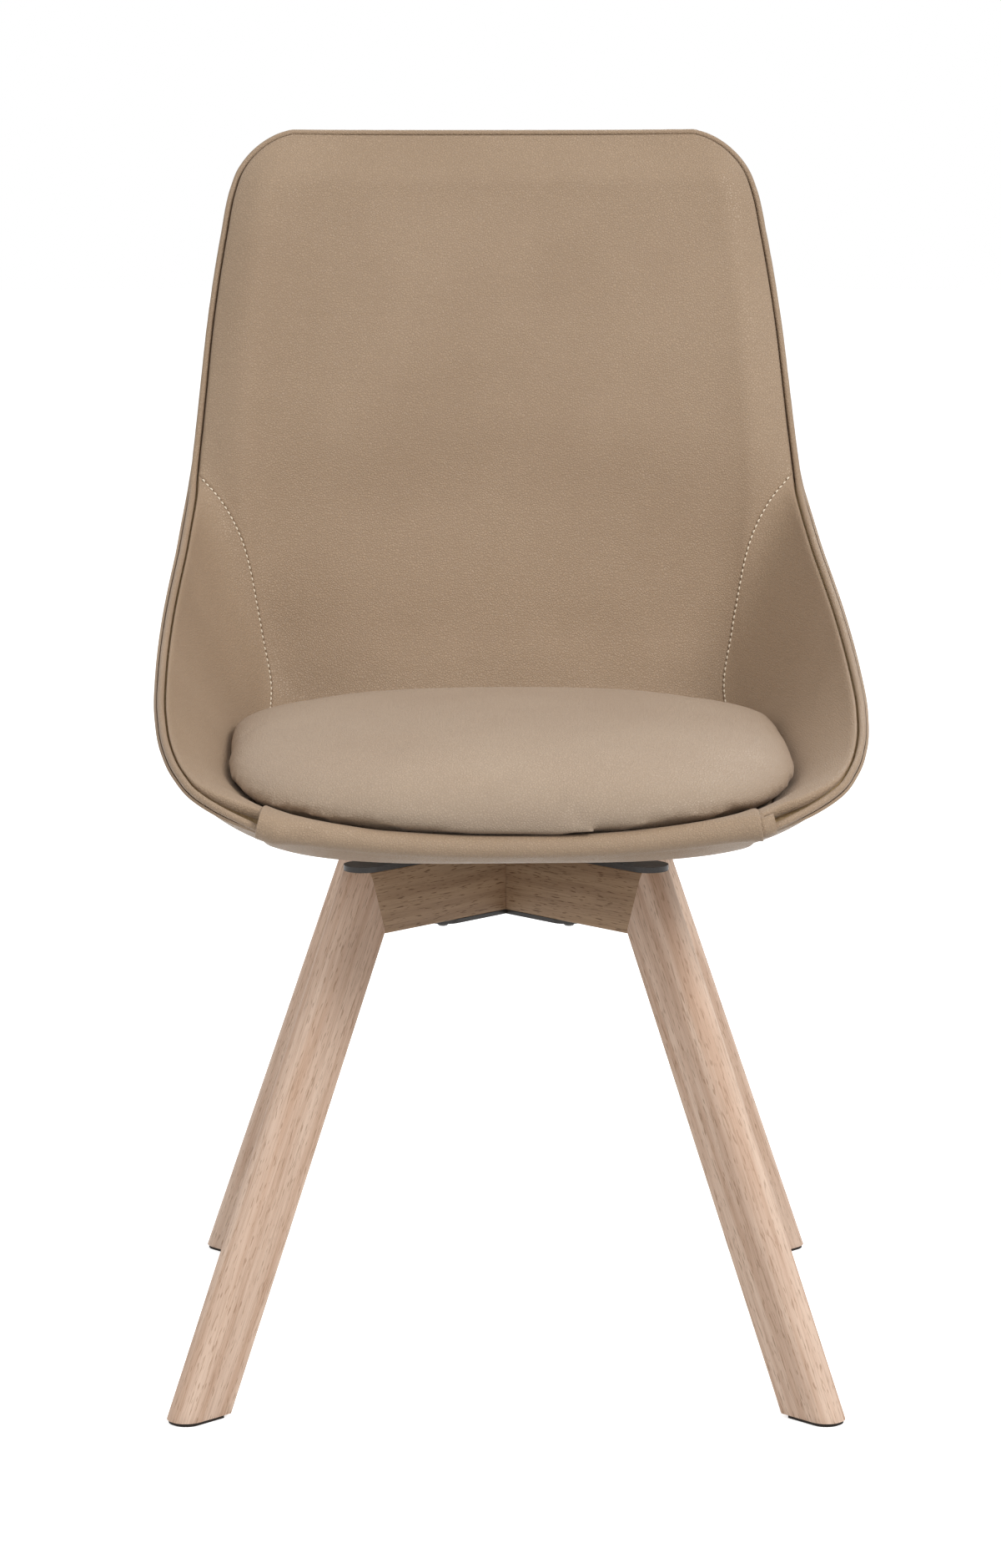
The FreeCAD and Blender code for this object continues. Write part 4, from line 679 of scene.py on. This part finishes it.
# %% [markdown]
# ### The band over the front lip
#
# A separate strip of leatherette is folded round the front lip and tucked back above and below it. In section it
# is a letter C: under the lip, round its nose in a half circle, and back over the top. A strip pulled round a
# bend never lies quite flat, so it gets shallow dents, deepest near its left end.


# %% The lip's section
BAND_ENDS = (-180.0, 167.0)
BAND_ROOMS = (0.35, 1.95)
BAND_TUCK = 0.088
LIP_REACH = 176.0


def across_for(x, up):
    """The place across the bucket of a distance in mm from its middle plane."""
    share = x / station_at(up)[..., 4] * math.sin(SPREAD)
    return np.arcsin(np.clip(share, -1.0, 1.0)) / SPREAD


def lip_middle(x, up):
    """The middle of the bucket's thickness at a distance from the middle plane, and half that thickness."""
    across = across_for(x, up)
    half = padding(across, up) / 2
    return at_depth(across, up, half), half, inward(across, up)


def dent(x, around):
    """Shallow dents in the band in mm: a sum of soft hollows, each at its own place along and round the band."""
    places = ((-146, 0.50, 9, 0.10, 1.9), (-131, 0.42, 7, 0.12, -0.7), (-100, 0.62, 16, 0.16, 0.5),
              (30, 0.50, 30, 0.20, 0.35), (96, 0.40, 14, 0.15, 0.45), (150, 0.55, 10, 0.15, 0.5))
    return sum(depth * np.exp(-((x - at) / wide)**2 - ((around - turn) / span)**2)
               for at, turn, wide, span, depth in places)


def band_section(x, room, count=13):
    """Rows of points round the C-shaped section at the distances x, held room mm off the lip. Past the end of
    the lip the section starts where the rim is that wide."""
    lip = np.interp(np.abs(x) + 2.5, ROWS[:3, 4], PLACES[:3])
    middle, half, normal = lip_middle(x, lip)
    behind, _, _ = lip_middle(x, lip + 0.01)
    forward = unit(middle - behind)
    forward = unit(forward - normal * (forward * normal).sum(-1, keepdims=True))
    under, above = [], []
    for share in np.linspace(1.0, 0.0, count)[:-1]:
        up = lip + (BAND_TUCK - lip) * share
        across = across_for(x, up)
        under.append(at_depth(across, up, -room + 0 * x))
        above.append(at_depth(across, up, padding(across, up) + room))
    turn = np.radians(np.linspace(-90, 90, 17))
    nose = [middle + (half + room)[:, None] * (math.cos(t) * forward + math.sin(t) * normal) for t in turn]
    return np.stack(under + nose + above[::-1], axis=1)


print("lip of", 2 * LIP_REACH, "mm, band over it from", *BAND_ENDS)


# %% Front band
def cut_corners(x, grid, reach=9.0):
    """The lower rows drawn in at both ends by a quarter ellipse, so that the strip has rounded lower corners."""
    share = np.clip(1 - np.arange(grid.shape[1]) / 21.0, 0.0, 1.0)
    for row, shrink in enumerate(reach * (1 - np.sqrt(1 - share**2))):
        wanted = x * (1 - shrink / ROWS[0, 4])
        grid[:, row] = np.stack([np.interp(wanted, x, grid[:, row, k]) for k in range(3)], axis=-1)
    return grid


def make_band():
    """Two C-shaped grids, 1.6 mm apart, joined round their border, with the ends and edges rounded."""
    x = np.linspace(*BAND_ENDS, 181)
    around = np.linspace(0, 1, 41)
    dip = dent(x[:, None], around[None, :])
    inner_face, outer_face = (cut_corners(x, band_section(x, room)) for room in BAND_ROOMS)
    outer_face = outer_face - dip[..., None] * unit(outer_face - inner_face)
    points, faces = closed_layer(inner_face, outer_face)
    mesh = new_mesh("front_band_leatherette", on_chair(points), faces)
    piece = add_piece("front_band_leatherette", mesh, "seat", taupe_leatherette, ["front_band"])
    round_edges(piece, 0.7)


make_band()


# %% Roll of the lip
def make_lip_roll():
    """The padding under the band: the half round of the lip alone, seen as a folded edge at its two ends."""
    nose = band_section(np.linspace(-LIP_REACH, LIP_REACH, 121), -0.05)[:, 12:29]
    share = np.linspace(0, 1, nose.shape[1])[None, :, None]
    flat = nose[:, :1] + (nose[:, -1:] - nose[:, :1]) * share + np.array([0.0, 1.0, 0.0])
    points, faces = closed_layer(flat, nose)
    add_piece("lip_roll_leatherette", new_mesh("lip_roll_leatherette", on_chair(points), faces), "seat",
              taupe_leatherette, ["lip_foam"])


make_lip_roll()

# %% [markdown]
# ### Topstitching
#
# The seam between the back panel and each wing is sewn a second time through the wing, two millimetres from the
# fold, with a pale thread. Each stitch is a short fat spindle lying on the leatherette, sunk a little at its two
# ends where the thread goes down. All stitches of one seam are one mesh, made by adding a small spindle to every
# place along the seam at once.


# %% Stitches
STITCH_PITCH, STITCH_HALF, STITCH_RADIUS = 4.5, 1.55, 0.72
STITCH_OFFSET = 0.0115


def make_stitches(name, side):
    """Spindles laid at every pitch along the seam, in the frame of the path and the surface."""
    up = np.linspace(0.452, 0.6555, 4000)
    across = side * (seam_at(up) + STITCH_OFFSET)
    path = at_depth(across, up, padding(across, up) + 0.1)
    length = np.concatenate([[0.0], np.cumsum(np.linalg.norm(np.diff(path, axis=0), axis=1))])
    at = np.arange(3.0, length[-1] - 2.0, STITCH_PITCH)
    middle = np.stack([np.interp(at, length, path[:, k]) for k in range(3)], axis=-1)
    ahead = unit(np.stack([np.interp(at + 1, length, path[:, k]) for k in range(3)], axis=-1) - middle)
    normal = inward(np.interp(at, length, across), np.interp(at, length, up))
    sideways = unit(np.cross(ahead, normal))
    t = np.linspace(-1, 1, 7)
    fat = STITCH_RADIUS * np.sqrt(np.maximum(1 - t**2, 0.02))
    turn = np.linspace(0, 2 * math.pi, 6, endpoint=False)
    rings = (
        middle[:, None, None] + STITCH_HALF * t[None, :, None, None] * ahead[:, None, None]
        + (fat[:, None] * np.cos(turn))[None, ..., None] * sideways[:, None, None]
        + (fat[:, None] * np.sin(turn) - 0.35 * t[:, None]**4)[None, ..., None] * normal[:, None, None])
    one_points, one_quads, one_fans = closed_tube(rings[0])
    count = len(one_points)
    ends = np.stack([rings[:, 0].mean(1), rings[:, -1].mean(1)], axis=1)
    points = np.concatenate([rings.reshape(len(at), -1, 3), ends], axis=1)
    shift = (np.arange(len(at)) * count)[:, None, None]
    quads = (one_quads[None] + shift).reshape(-1, 4)
    fans = (one_fans[None] + shift).reshape(-1, 3)
    add_piece(name, new_mesh(name, on_chair(points.reshape(-1, 3)), quads, fans), "seat", thread)


make_stitches("topstitch_left", -1)
make_stitches("topstitch_right", 1)

# %% [markdown]
# ## The seat cushion
#
# The cushion is a foam block in a leatherette case that lies loose on the deck. Seen from above it is an oval
# with square shoulders: the front half is a superellipse of exponent 3.2, the back half one of exponent 3.8. Its
# side line follows the deck, which rises to the wings and drops over the front lip. From that line the top rolls
# up, steeply at the sides and in a long slope at the front, to a crown in the middle.


# %% Height of the deck under the cushion
def over_deck(x, y):
    """Height of the padded deck over points of the plan, in mm. Newton's method moves (across, up) until the
    panel's face lies at (x, y)."""
    across = np.clip(x / 360.0, -0.8, 0.8)
    up = np.interp(y, [-240, -150, 35, 130, 160], [0.0, 0.14, 0.33, 0.44, 0.5])
    step = 1e-3

    def face(a, u):
        return at_depth(a, u, padding(a, u))

    for _ in range(14):
        here = face(across, up)
        by_across = (face(across + step, up) - face(across - step, up)) / (2 * step)
        by_up = (face(across, np.clip(up + step, 0, 1)) - face(across, np.clip(up - step, 0, 1)))
        by_up = by_up / (np.clip(up + step, 0, 1) - np.clip(up - step, 0, 1))[..., None]
        dx, dy = x - here[..., 0], y - here[..., 1]
        det = by_across[..., 0] * by_up[..., 1] - by_across[..., 1] * by_up[..., 0]
        det = np.where(np.abs(det) < 1e-3, 1e-3, det)
        move_across = (dx * by_up[..., 1] - dy * by_up[..., 0]) / det
        move_up = (by_across[..., 0] * dy - by_across[..., 1] * dx) / det
        across = np.clip(across + np.clip(move_across, -0.1, 0.1), -0.97, 0.97)
        up = np.clip(up + np.clip(move_up, -0.05, 0.05), 0.0, 0.58)
    return face(across, up)[..., 2]


TABLE_X, TABLE_Y = np.linspace(-216, 216, 109), np.linspace(-290, 170, 116)
TABLE = over_deck(*(axis.ravel() for axis in np.meshgrid(TABLE_X, TABLE_Y))).reshape(116, 109)


def deck_under(x, y):
    """The deck's height looked up in a table with a step of 4 mm, by straight lines between its values."""
    x, y = np.broadcast_arrays(x, y)
    column = np.clip((x - TABLE_X[0]) / (TABLE_X[1] - TABLE_X[0]), 0, 107.999)
    row = np.clip((y - TABLE_Y[0]) / (TABLE_Y[1] - TABLE_Y[0]), 0, 114.999)
    i, j = row.astype(int), column.astype(int)
    s, t = row - i, column - j
    return ((1 - s) * ((1 - t) * TABLE[i, j] + t * TABLE[i, j + 1])
            + s * ((1 - t) * TABLE[i + 1, j] + t * TABLE[i + 1, j + 1]))


print("deck height at the middle", round(float(deck_under(0.0, -60.0)), 2), "mm")


# %% Shape of the cushion
CUSHION_Y, CUSHION_HALF = -72.0, 203.0
FRONT_REACH, BACK_REACH_IN = 174.0, 221.0
FRONT_POWER, BACK_POWER = 3.2, 3.8
BAND_EDGE_Y = -205.0


def cushion_outline(count):
    """The plan outline from above, evenly spaced, with the place round it from 0 at the right to 1 again."""
    turn = np.linspace(0, 2 * math.pi, 20001)
    c, s = np.cos(turn), np.sin(turn)
    power = 2 / np.where(s < 0, FRONT_POWER, BACK_POWER)
    reach = np.where(s < 0, FRONT_REACH, BACK_REACH_IN)
    x = CUSHION_HALF * np.sign(c) * np.abs(c) ** power
    y = CUSHION_Y + reach * np.sign(s) * np.abs(s) ** power
    length = np.concatenate([[0.0], np.cumsum(np.hypot(np.diff(x), np.diff(y)))])
    even = np.linspace(0, length[-1], count, endpoint=False)
    return np.interp(even, length, x), np.interp(even, length, y), even


def cushion_surface(count=256, rings=64):
    """Top rings from the middle out to the side line, then bottom rings back in. The top height is the side
    line plus its rise times sqrt(1 - ring ** a), where a is small at the front, for a long slope."""
    x_edge, y_edge, length = cushion_outline(count)
    line = deck_under(x_edge, y_edge) + 2.2
    frontness = smooth((-60 - y_edge) / 170.0)
    a = 9.0 - 5.6 * frontness
    ring = np.sin(np.linspace(0, 1, rings) * math.pi / 2) ** 0.9
    ring = ring[:, None]
    x = x_edge * ring
    y = CUSHION_Y + (y_edge - CUSHION_Y) * ring
    crown = 68.5 + 7.0 * (1 - (x / 201.0) ** 2) * (1 - ((y + 40.0) / 205.0) ** 2)
    top = line + (crown - line) * np.sqrt(np.maximum(1 - ring ** a, 0.0))
    under_ring = np.linspace(1, 0, rings // 2)[1:, None]
    x_under = x_edge * under_ring * 0.995
    y_under = CUSHION_Y + (y_edge - CUSHION_Y) * under_ring * 0.995
    under = deck_under(x_under, y_under) + 0.6 + 1.6 * smooth((under_ring - 0.9) / 0.1)
    lift = 2.2 * smooth((BAND_EDGE_Y - y_under) / 10.0)
    return np.concatenate([
        np.stack([x, y, top], axis=-1), np.stack([x_under, y_under, under + lift], axis=-1)]), length


def make_cushion_mesh():
    """The rings of the cushion joined to a closed skin. The first and last ring are single points."""
    rings, _ = cushion_surface()
    count = rings.shape[1]
    body = rings[1:-1]
    points = np.concatenate([body.reshape(-1, 3), rings[0, :1], rings[-1, :1]])
    quads = grid_quads(len(body), count, around=True)
    ring = np.arange(count)
    after = np.roll(ring, -1)
    last = (len(body) - 1) * count
    top = np.stack([np.full(count, len(points) - 2), ring, after], axis=-1)
    bottom = np.stack([np.full(count, len(points) - 1), last + after, last + ring], axis=-1)
    return new_mesh("seat_cushion_leatherette", on_chair(points), quads[:, ::-1], np.concatenate([top, bottom]))


# The cushion wears the paler copy of the leatherette: painted light on its top, painted shade on its lower roll.
cushion = add_piece("seat_cushion_leatherette", make_cushion_mesh(), "seat", painted_light_cushion_leatherette,
                    ["seat_cushion"])

# %% [markdown]
# ### Letting the case fill out
#
# A worked-out form looks too even for leatherette over foam. So the case is remeshed into small equal quads and
# simulated as cloth with a little pressure inside, which makes it bulge as a sewn case does. No point may move
# further than a cap, and the underside stays on the deck.


# %% Points in and out of a mesh
def get_points(mesh):
    """The mesh's points as an (n, 3) array."""
    values = np.empty(len(mesh.vertices) * 3, np.float32)
    mesh.vertices.foreach_get("co", values)
    return values.reshape(-1, 3).astype(float)


def set_points(mesh, points):
    """Write an (n, 3) array back into the mesh."""
    mesh.vertices.foreach_set("co", np.asarray(points, np.float32).ravel())
    mesh.update()


def from_chair(points):
    """From metres in the chair's frame back to millimetres over the underside of the seat."""
    c, s = math.cos(SEAT_TURN), math.sin(SEAT_TURN)
    return (points / MM - np.array([0, 0, SEAT_HEIGHT])) @ np.array([[c, -s, 0], [s, c, 0], [0, 0, 1]])


# %% Filling out the case
def fill_out(piece, voxel_mm=4.5, frames=14, pressure=1.2, cap_mm=2.2):
    """Remesh, simulate with pressure and no gravity, cap each move, and keep the result as the piece's mesh."""
    remesh = piece.modifiers.new("even_quads", "REMESH")
    remesh.mode = "VOXEL"
    remesh.voxel_size = voxel_mm * MM
    apply_modifiers(piece)
    start = get_points(piece.data)
    cloth = piece.modifiers.new("case", "CLOTH")
    cloth.settings.quality = 6
    cloth.settings.mass = 0.35
    cloth.settings.tension_stiffness = 25
    cloth.settings.compression_stiffness = 25
    cloth.settings.shear_stiffness = 12
    cloth.settings.bending_stiffness = 1.2
    cloth.settings.use_pressure = True
    cloth.settings.uniform_pressure_force = pressure
    cloth.settings.effector_weights.gravity = 0
    cloth.collision_settings.use_self_collision = False
    cloth.point_cache.frame_start = 1
    cloth.point_cache.frame_end = frames
    for step in range(1, frames + 1):
        bpy.context.scene.frame_set(step)
    apply_modifiers(piece)
    moved = get_points(piece.data) - start
    far = np.linalg.norm(moved, axis=1, keepdims=True)
    moved *= np.minimum(1.0, cap_mm * MM / np.maximum(far, 1e-9))
    set_points(piece.data, start + moved)
    bpy.context.scene.frame_set(1)
    print("simulated", len(start), "points, largest move", round(float(far.max()) / MM, 1), "mm")


# %% Lay the cushion down and gather its front
def seat_on_deck(piece):
    """Keep the cushion clear of the deck and wings: no point below the deck's height under it plus 0.5 mm, and
    2.2 mm more where it lies over the band at the front."""
    points = from_chair(get_points(piece.data))
    floor = deck_under(points[:, 0], points[:, 1]) + 0.5
    floor = floor + 2.2 * smooth((BAND_EDGE_Y - points[:, 1]) / 10.0) * (points[:, 1] > -262)
    points[:, 2] = np.maximum(points[:, 2], floor)
    set_points(piece.data, on_chair(points))


def pucker(piece):
    """Small gathers where the case turns under at the front: ridges every 6.5 mm across the side line, fading
    out 12 mm above it, strongest towards the left corner, on a slow random beat."""
    points = from_chair(get_points(piece.data))
    x, y, z = points.T
    above = z - (deck_under(x, y) + 3.0)
    near = np.exp(-(np.maximum(above, 0) / 9.0) ** 2) * smooth((-130 - y) / 40.0)
    beat = 0.5 + 0.5 * np.sin(x / 23.0) * np.sin(x / 9.7 + 1.3)
    side = 0.35 + 0.65 * smooth((-60 - x) / 60.0)
    depth = 0.9 * near * beat * side * np.abs(np.sin(math.pi * x / 6.5))
    points[:, 1] += depth
    set_points(piece.data, on_chair(points))


fill_out(cushion)
seat_on_deck(cushion)
subdivide = cushion.modifiers.new("finer", "SUBSURF")
subdivide.levels = subdivide.render_levels = 1
apply_modifiers(cushion)
pucker(cushion)
cushion.data.polygons.foreach_set("use_smooth", np.ones(len(cushion.data.polygons), bool))
cushion.data.materials.clear()
cushion.data.materials.append(painted_light_cushion_leatherette)
print("cushion", len(cushion.data.polygons), "faces")

# %% [markdown]
# ## The wooden frame
#
# Each leg and each arm is a stick with its grain along it, cut by flat planes: level at the foot and the top,
# slanted at the glued joint, mitred where the arms meet. So a stick starts as a long bar of its real section,
# is cut plane by plane, and gets its edges eased, as a joiner makes it. Every point keeps its place in the
# stick as an attribute, which the oak reads for its grain.

# %% Sticks
FOOT_REACH, LEAN = 331.0, math.radians(25.1)
LEG_THICKNESS, LEG_DEPTH = 28.0, 40.0
ARM_LOW, ARM_TOP, PAD_HEIGHT = 325.0, 371.0, 2.5
LEG_WIDTH = LEG_DEPTH / math.cos(LEAN)
HEEL_REACH = FOOT_REACH - LEG_WIDTH
CROTCH_REACH = HEEL_REACH - (ARM_LOW - PAD_HEIGHT) * math.tan(LEAN)
JOINT_LEAN = math.radians(17.0)
LEG_BACK_RADIUS, LEG_FRONT_RADIUS, HEEL_RADIUS, LEG_EASE = 13.0, 2.0, 8.0, 0.6
ARM_EDGE_RADIUS, ARM_EASE, MITRE_GAP = 0.8, 0.35, 0.02
SPARE_LEG, SPARE_ARM = 60.0, 30.0
CORNERS = {"front_left": 225, "front_right": 315, "rear_right": 45, "rear_left": 135}


def rounded_section(depth, width, outer_radius, inner_radius, steps=9):
    """Outline of a bar's section, centred: depth towards the outside along x, with a radius for its outer and
    its inner corners."""
    points = []
    for sx, sy, radius, start in ((1, 1, outer_radius, 0), (-1, 1, inner_radius, 90),
                                  (-1, -1, inner_radius, 180), (1, -1, outer_radius, 270)):
        for angle in np.radians(np.linspace(start, start + 90, steps)):
            points.append((sx * (depth / 2 - radius) + radius * math.cos(angle),
                           sy * (width / 2 - radius) + radius * math.sin(angle)))
    return np.array(points)


def make_bar(section, origin, along, outward, length, rings):
    """A closed bar: the section carried along a direction, in the plane of the stick, where x runs outwards from
    the swivel axis, y across the stick and z up."""
    across = np.array([0.0, 1.0, 0.0])
    steps = np.linspace(0, length, rings)
    ring = section[:, :1] * outward + section[:, 1:] * across
    points = origin + steps[:, None, None] * along + ring[None]
    bar = bmesh.new()
    vertices = [bar.verts.new(point) for point in points.reshape(-1, 3)]
    count = len(section)
    for quad in grid_quads(rings, count, around=True):
        bar.faces.new([vertices[i] for i in quad])
    bar.faces.new([vertices[i] for i in range(count)])
    bar.faces.new([vertices[i] for i in range((rings - 1) * count, rings * count)][::-1])
    bmesh.ops.recalc_face_normals(bar, faces=bar.faces)
    return bar


def cut(bar, point, normal):
    """Saw the bar through a plane, drop what lies on the normal's side and close the cut with one face."""
    geometry = bar.verts[:] + bar.edges[:] + bar.faces[:]
    result = bmesh.ops.bisect_plane(
        bar, geom=geometry, plane_co=point, plane_no=normal, clear_outer=True, dist=1e-5)
    edges = [item for item in result["geom_cut"] if isinstance(item, bmesh.types.BMEdge)]
    bmesh.ops.edgeloop_fill(bar, edges=edges)


# %% Easing edges and finishing a stick
def ease(bar, wanted, radius, segments):
    """Round the edges that a test picks out."""
    edges = [edge for edge in bar.edges if wanted(edge)]
    bmesh.ops.bevel(bar, geom=edges, offset=radius, segments=segments, profile=0.5, affect="EDGES",
                    clamp_overlap=True)


def sharp(edge, degrees=35):
    """True where two faces meet at more than this angle."""
    return len(edge.link_faces) == 2 and edge.calc_face_angle(0.0) > math.radians(degrees)


def finish_stick(name, bar, turn, grain, seed, material, stands_for):
    """Turn the stick to its corner of the chair and store its place along and across the grain."""
    mesh = bpy.data.meshes.new(name)
    bmesh.ops.recalc_face_normals(bar, faces=bar.faces)
    bar.to_mesh(mesh)
    bar.free()
    points = get_points(mesh)
    place = (points @ grain.T) * MM + np.array([seed * 1.37, seed * 0.53, seed * 0.29])
    attribute = mesh.attributes.new("grain_place", "FLOAT_VECTOR", "POINT")
    attribute.data.foreach_set("vector", place.astype(np.float32).ravel())
    c, s = math.cos(math.radians(turn)), math.sin(math.radians(turn))
    set_points(mesh, points @ np.array([[c, s, 0], [-s, c, 0], [0, 0, 1]]) * MM)
    mesh.polygons.foreach_set("use_smooth", np.ones(len(mesh.polygons), bool))
    piece = add_piece(name, mesh, "base", material, stands_for)
    mesh.set_sharp_from_angle(angle=math.radians(40))
    return piece


print("legs lean", round(math.degrees(LEAN), 1), "degrees and are", round(LEG_WIDTH, 1), "mm wide at the floor")


# %% Legs and arms
def make_leg_stick(corner, turn, seed):
    """A leg: a bar of 40 by 28 mm with a nearly round back, leaning out by 25.1 degrees."""
    along = np.array([-math.sin(LEAN), 0.0, math.cos(LEAN)])
    outward = np.array([math.cos(LEAN), 0.0, math.sin(LEAN)])
    foot = np.array([FOOT_REACH - LEG_WIDTH / 2, 0.0, PAD_HEIGHT])
    section = rounded_section(LEG_DEPTH, LEG_THICKNESS, LEG_BACK_RADIUS, LEG_FRONT_RADIUS)
    bar = make_bar(section, foot - SPARE_LEG * along, along, outward, 560.0, 29)
    cut(bar, (0, 0, PAD_HEIGHT), (0, 0, -1))
    cut(bar, (0, 0, ARM_TOP), (0, 0, 1))
    cut(bar, (CROTCH_REACH, 0, ARM_LOW), (-math.cos(JOINT_LEAN), 0, math.sin(JOINT_LEAN)))

    def heel(edge):
        middle = (edge.verts[0].co + edge.verts[1].co) / 2
        run = edge.verts[1].co - edge.verts[0].co
        flat = abs(run.x) + abs(run.z) < 0.01
        return flat and middle.z < PAD_HEIGHT + 0.1 and middle.x < FOOT_REACH - LEG_WIDTH / 2 and sharp(edge)

    ease(bar, heel, HEEL_RADIUS, 8)
    ease(bar, lambda edge: sharp(edge, 55), LEG_EASE, 2)
    grain = np.stack([along, outward, [0.0, 1.0, 0.0]])
    finish_stick(f"oak_leg_{corner}", bar, turn, grain, seed, leg_oak, [f"leg_{corner}"])


def make_arm_stick(corner, turn, seed):
    """An arm: a bar of 46 by 28 mm, level, pointed where the four meet and slanted at the glued joint."""
    section = rounded_section(ARM_TOP - ARM_LOW, LEG_THICKNESS, ARM_EDGE_RADIUS, ARM_EDGE_RADIUS, 3)
    middle = np.array([-SPARE_ARM, 0.0, (ARM_LOW + ARM_TOP) / 2])
    bar = make_bar(section, middle, np.array([1.0, 0, 0]), np.array([0, 0, 1.0]), 260.0, 14)
    cut(bar, (CROTCH_REACH, 0, ARM_LOW), (math.cos(JOINT_LEAN), 0, -math.sin(JOINT_LEAN)))
    cut(bar, (MITRE_GAP, 0, 0), (-1, 1, 0))
    cut(bar, (MITRE_GAP, 0, 0), (-1, -1, 0))
    grain = np.stack([[1.0, 0, 0], [0, 0, 1.0], [0, 1.0, 0]])
    ease(bar, lambda edge: sharp(edge, 30), ARM_EASE, 2)
    finish_stick(f"oak_arm_{corner}", bar, turn, grain, seed, arm_oak, [f"arm_{corner}"])


for seed, (corner, turn) in enumerate(CORNERS.items(), start=1):
    make_leg_stick(corner, turn, seed)
    make_arm_stick(corner, turn, seed + 4)

# %% [markdown]
# ## Floor, light and camera
#
# The chair stands on a plain pale floor under soft studio light: a large lamp high in front and to the right, a
# weaker one to the left, and one from behind that rims the back. What the camera sees of the floor and the world
# is plain white, while the floor still takes the chair's soft shadow. The camera stands where the photograph's
# did: 3.27 m in front of the swivel axis and 0.99 m up, looking down by 10 degrees through a long lens.

# %% Floor and world
def make_floor():
    """A wide disc just under the feet. Camera and glossy rays see it white, with its shadow."""
    turn = np.linspace(0, 2 * math.pi, 97)[:-1]
    points = np.stack([12 * np.cos(turn), 12 * np.sin(turn), np.full(96, -0.0002)], axis=-1)
    mesh = bpy.data.meshes.new("floor")
    mesh.from_pydata(points.tolist(), [], [list(range(96))])
    material = bpy.data.materials.new("pale_floor")
    material.use_nodes = True
    tree = material.node_tree
    tree.nodes.clear()
    rays = add_node(tree, "ShaderNodeLightPath")
    paint = add_node(tree, "ShaderNodeBsdfDiffuse", inputs={"Color": (0.86, 0.86, 0.86, 1.0)})
    glow = add_node(tree, "ShaderNodeEmission", inputs={"Color": (1, 1, 1, 1), "Strength": 0.62})
    both = add_node(tree, "ShaderNodeAddShader")
    tree.links.new(paint.outputs[0], both.inputs[0])
    tree.links.new(glow.outputs[0], both.inputs[1])
    seen = add_node(tree, "ShaderNodeMath", {"operation": "MAXIMUM"})
    tree.links.new(rays.outputs["Is Camera Ray"], seen.inputs[0])
    tree.links.new(rays.outputs["Is Glossy Ray"], seen.inputs[1])
    mix = add_node(tree, "ShaderNodeMixShader", links={"Fac": seen.outputs[0]})
    tree.links.new(both.outputs[0], mix.inputs[2])
    bounce = add_node(tree, "ShaderNodeBsdfDiffuse", inputs={"Color": (0.45, 0.45, 0.45, 1.0)})
    tree.links.new(bounce.outputs[0], mix.inputs[1])
    add_node(tree, "ShaderNodeOutputMaterial", links={"Surface": mix.outputs[0]})
    mesh.materials.append(material)
    floor = bpy.data.objects.new("floor", mesh)
    bpy.context.scene.collection.objects.link(floor)


def make_world(strength):
    """An even sky for the light, seen as plain white by camera and transmission rays."""
    world = bpy.data.worlds.new("studio")
    bpy.context.scene.world = world
    world.use_nodes = True
    tree = world.node_tree
    tree.nodes.clear()
    rays = add_node(tree, "ShaderNodeLightPath")
    first = add_node(tree, "ShaderNodeMath", {"operation": "MAXIMUM"})
    tree.links.new(rays.outputs["Is Camera Ray"], first.inputs[0])
    tree.links.new(rays.outputs["Is Transmission Ray"], first.inputs[1])
    sky = add_node(tree, "ShaderNodeBackground", inputs={"Color": (1.0, 1.0, 1.0, 1.0), "Strength": strength})
    white = add_node(tree, "ShaderNodeBackground", inputs={"Color": (1, 1, 1, 1), "Strength": 1.0})
    mix = add_node(tree, "ShaderNodeMixShader", links={"Fac": first.outputs[0]})
    tree.links.new(sky.outputs[0], mix.inputs[1])
    tree.links.new(white.outputs[0], mix.inputs[2])
    add_node(tree, "ShaderNodeOutputWorld", links={"Surface": mix.outputs[0]})


make_floor()
make_world(0.66)


# %% Lamps
def add_lamp(name, place, target, size, watts, colour=(1.0, 1.0, 1.0)):
    """A square soft lamp at a place, turned to a target."""
    lamp = bpy.data.lights.new(name, "AREA")
    lamp.shape = "SQUARE"
    lamp.size = size
    lamp.energy = watts
    lamp.color = colour
    item = bpy.data.objects.new(name, lamp)
    item.location = place
    item.rotation_euler = (Vector(target) - Vector(place)).to_track_quat("-Z", "Y").to_euler()
    bpy.context.scene.collection.objects.link(item)


add_lamp("key_lamp", (2.1, -2.0, 2.9), (0.0, 0.0, 0.5), 1.5, 77)
add_lamp("fill_lamp", (-2.4, -2.0, 1.9), (0.0, 0.0, 0.5), 1.8, 18)
add_lamp("back_lamp", (0.4, 2.6, 2.3), (0.0, 0.0, 0.6), 1.6, 20)
print(len(bpy.data.lights), "lamps")

# %% Camera
CAMERA_PLACE, LOOK_DOWN, FOCAL_LENGTH = (-0.00397, -3.2696, 0.9902), math.radians(9.976), 103.67

lens = bpy.data.cameras.new("photo_camera")
lens.lens = FOCAL_LENGTH
lens.sensor_width = 36.0
lens.sensor_fit = "AUTO"
camera = bpy.data.objects.new("photo_camera", lens)
camera.location = CAMERA_PLACE
camera.rotation_euler = (math.pi / 2 - LOOK_DOWN, 0.0, 0.0)
bpy.context.scene.collection.objects.link(camera)
bpy.context.scene.camera = camera
bpy.context.scene.view_settings.view_transform = "Standard"
print("camera", FOCAL_LENGTH, "mm, at", CAMERA_PLACE)
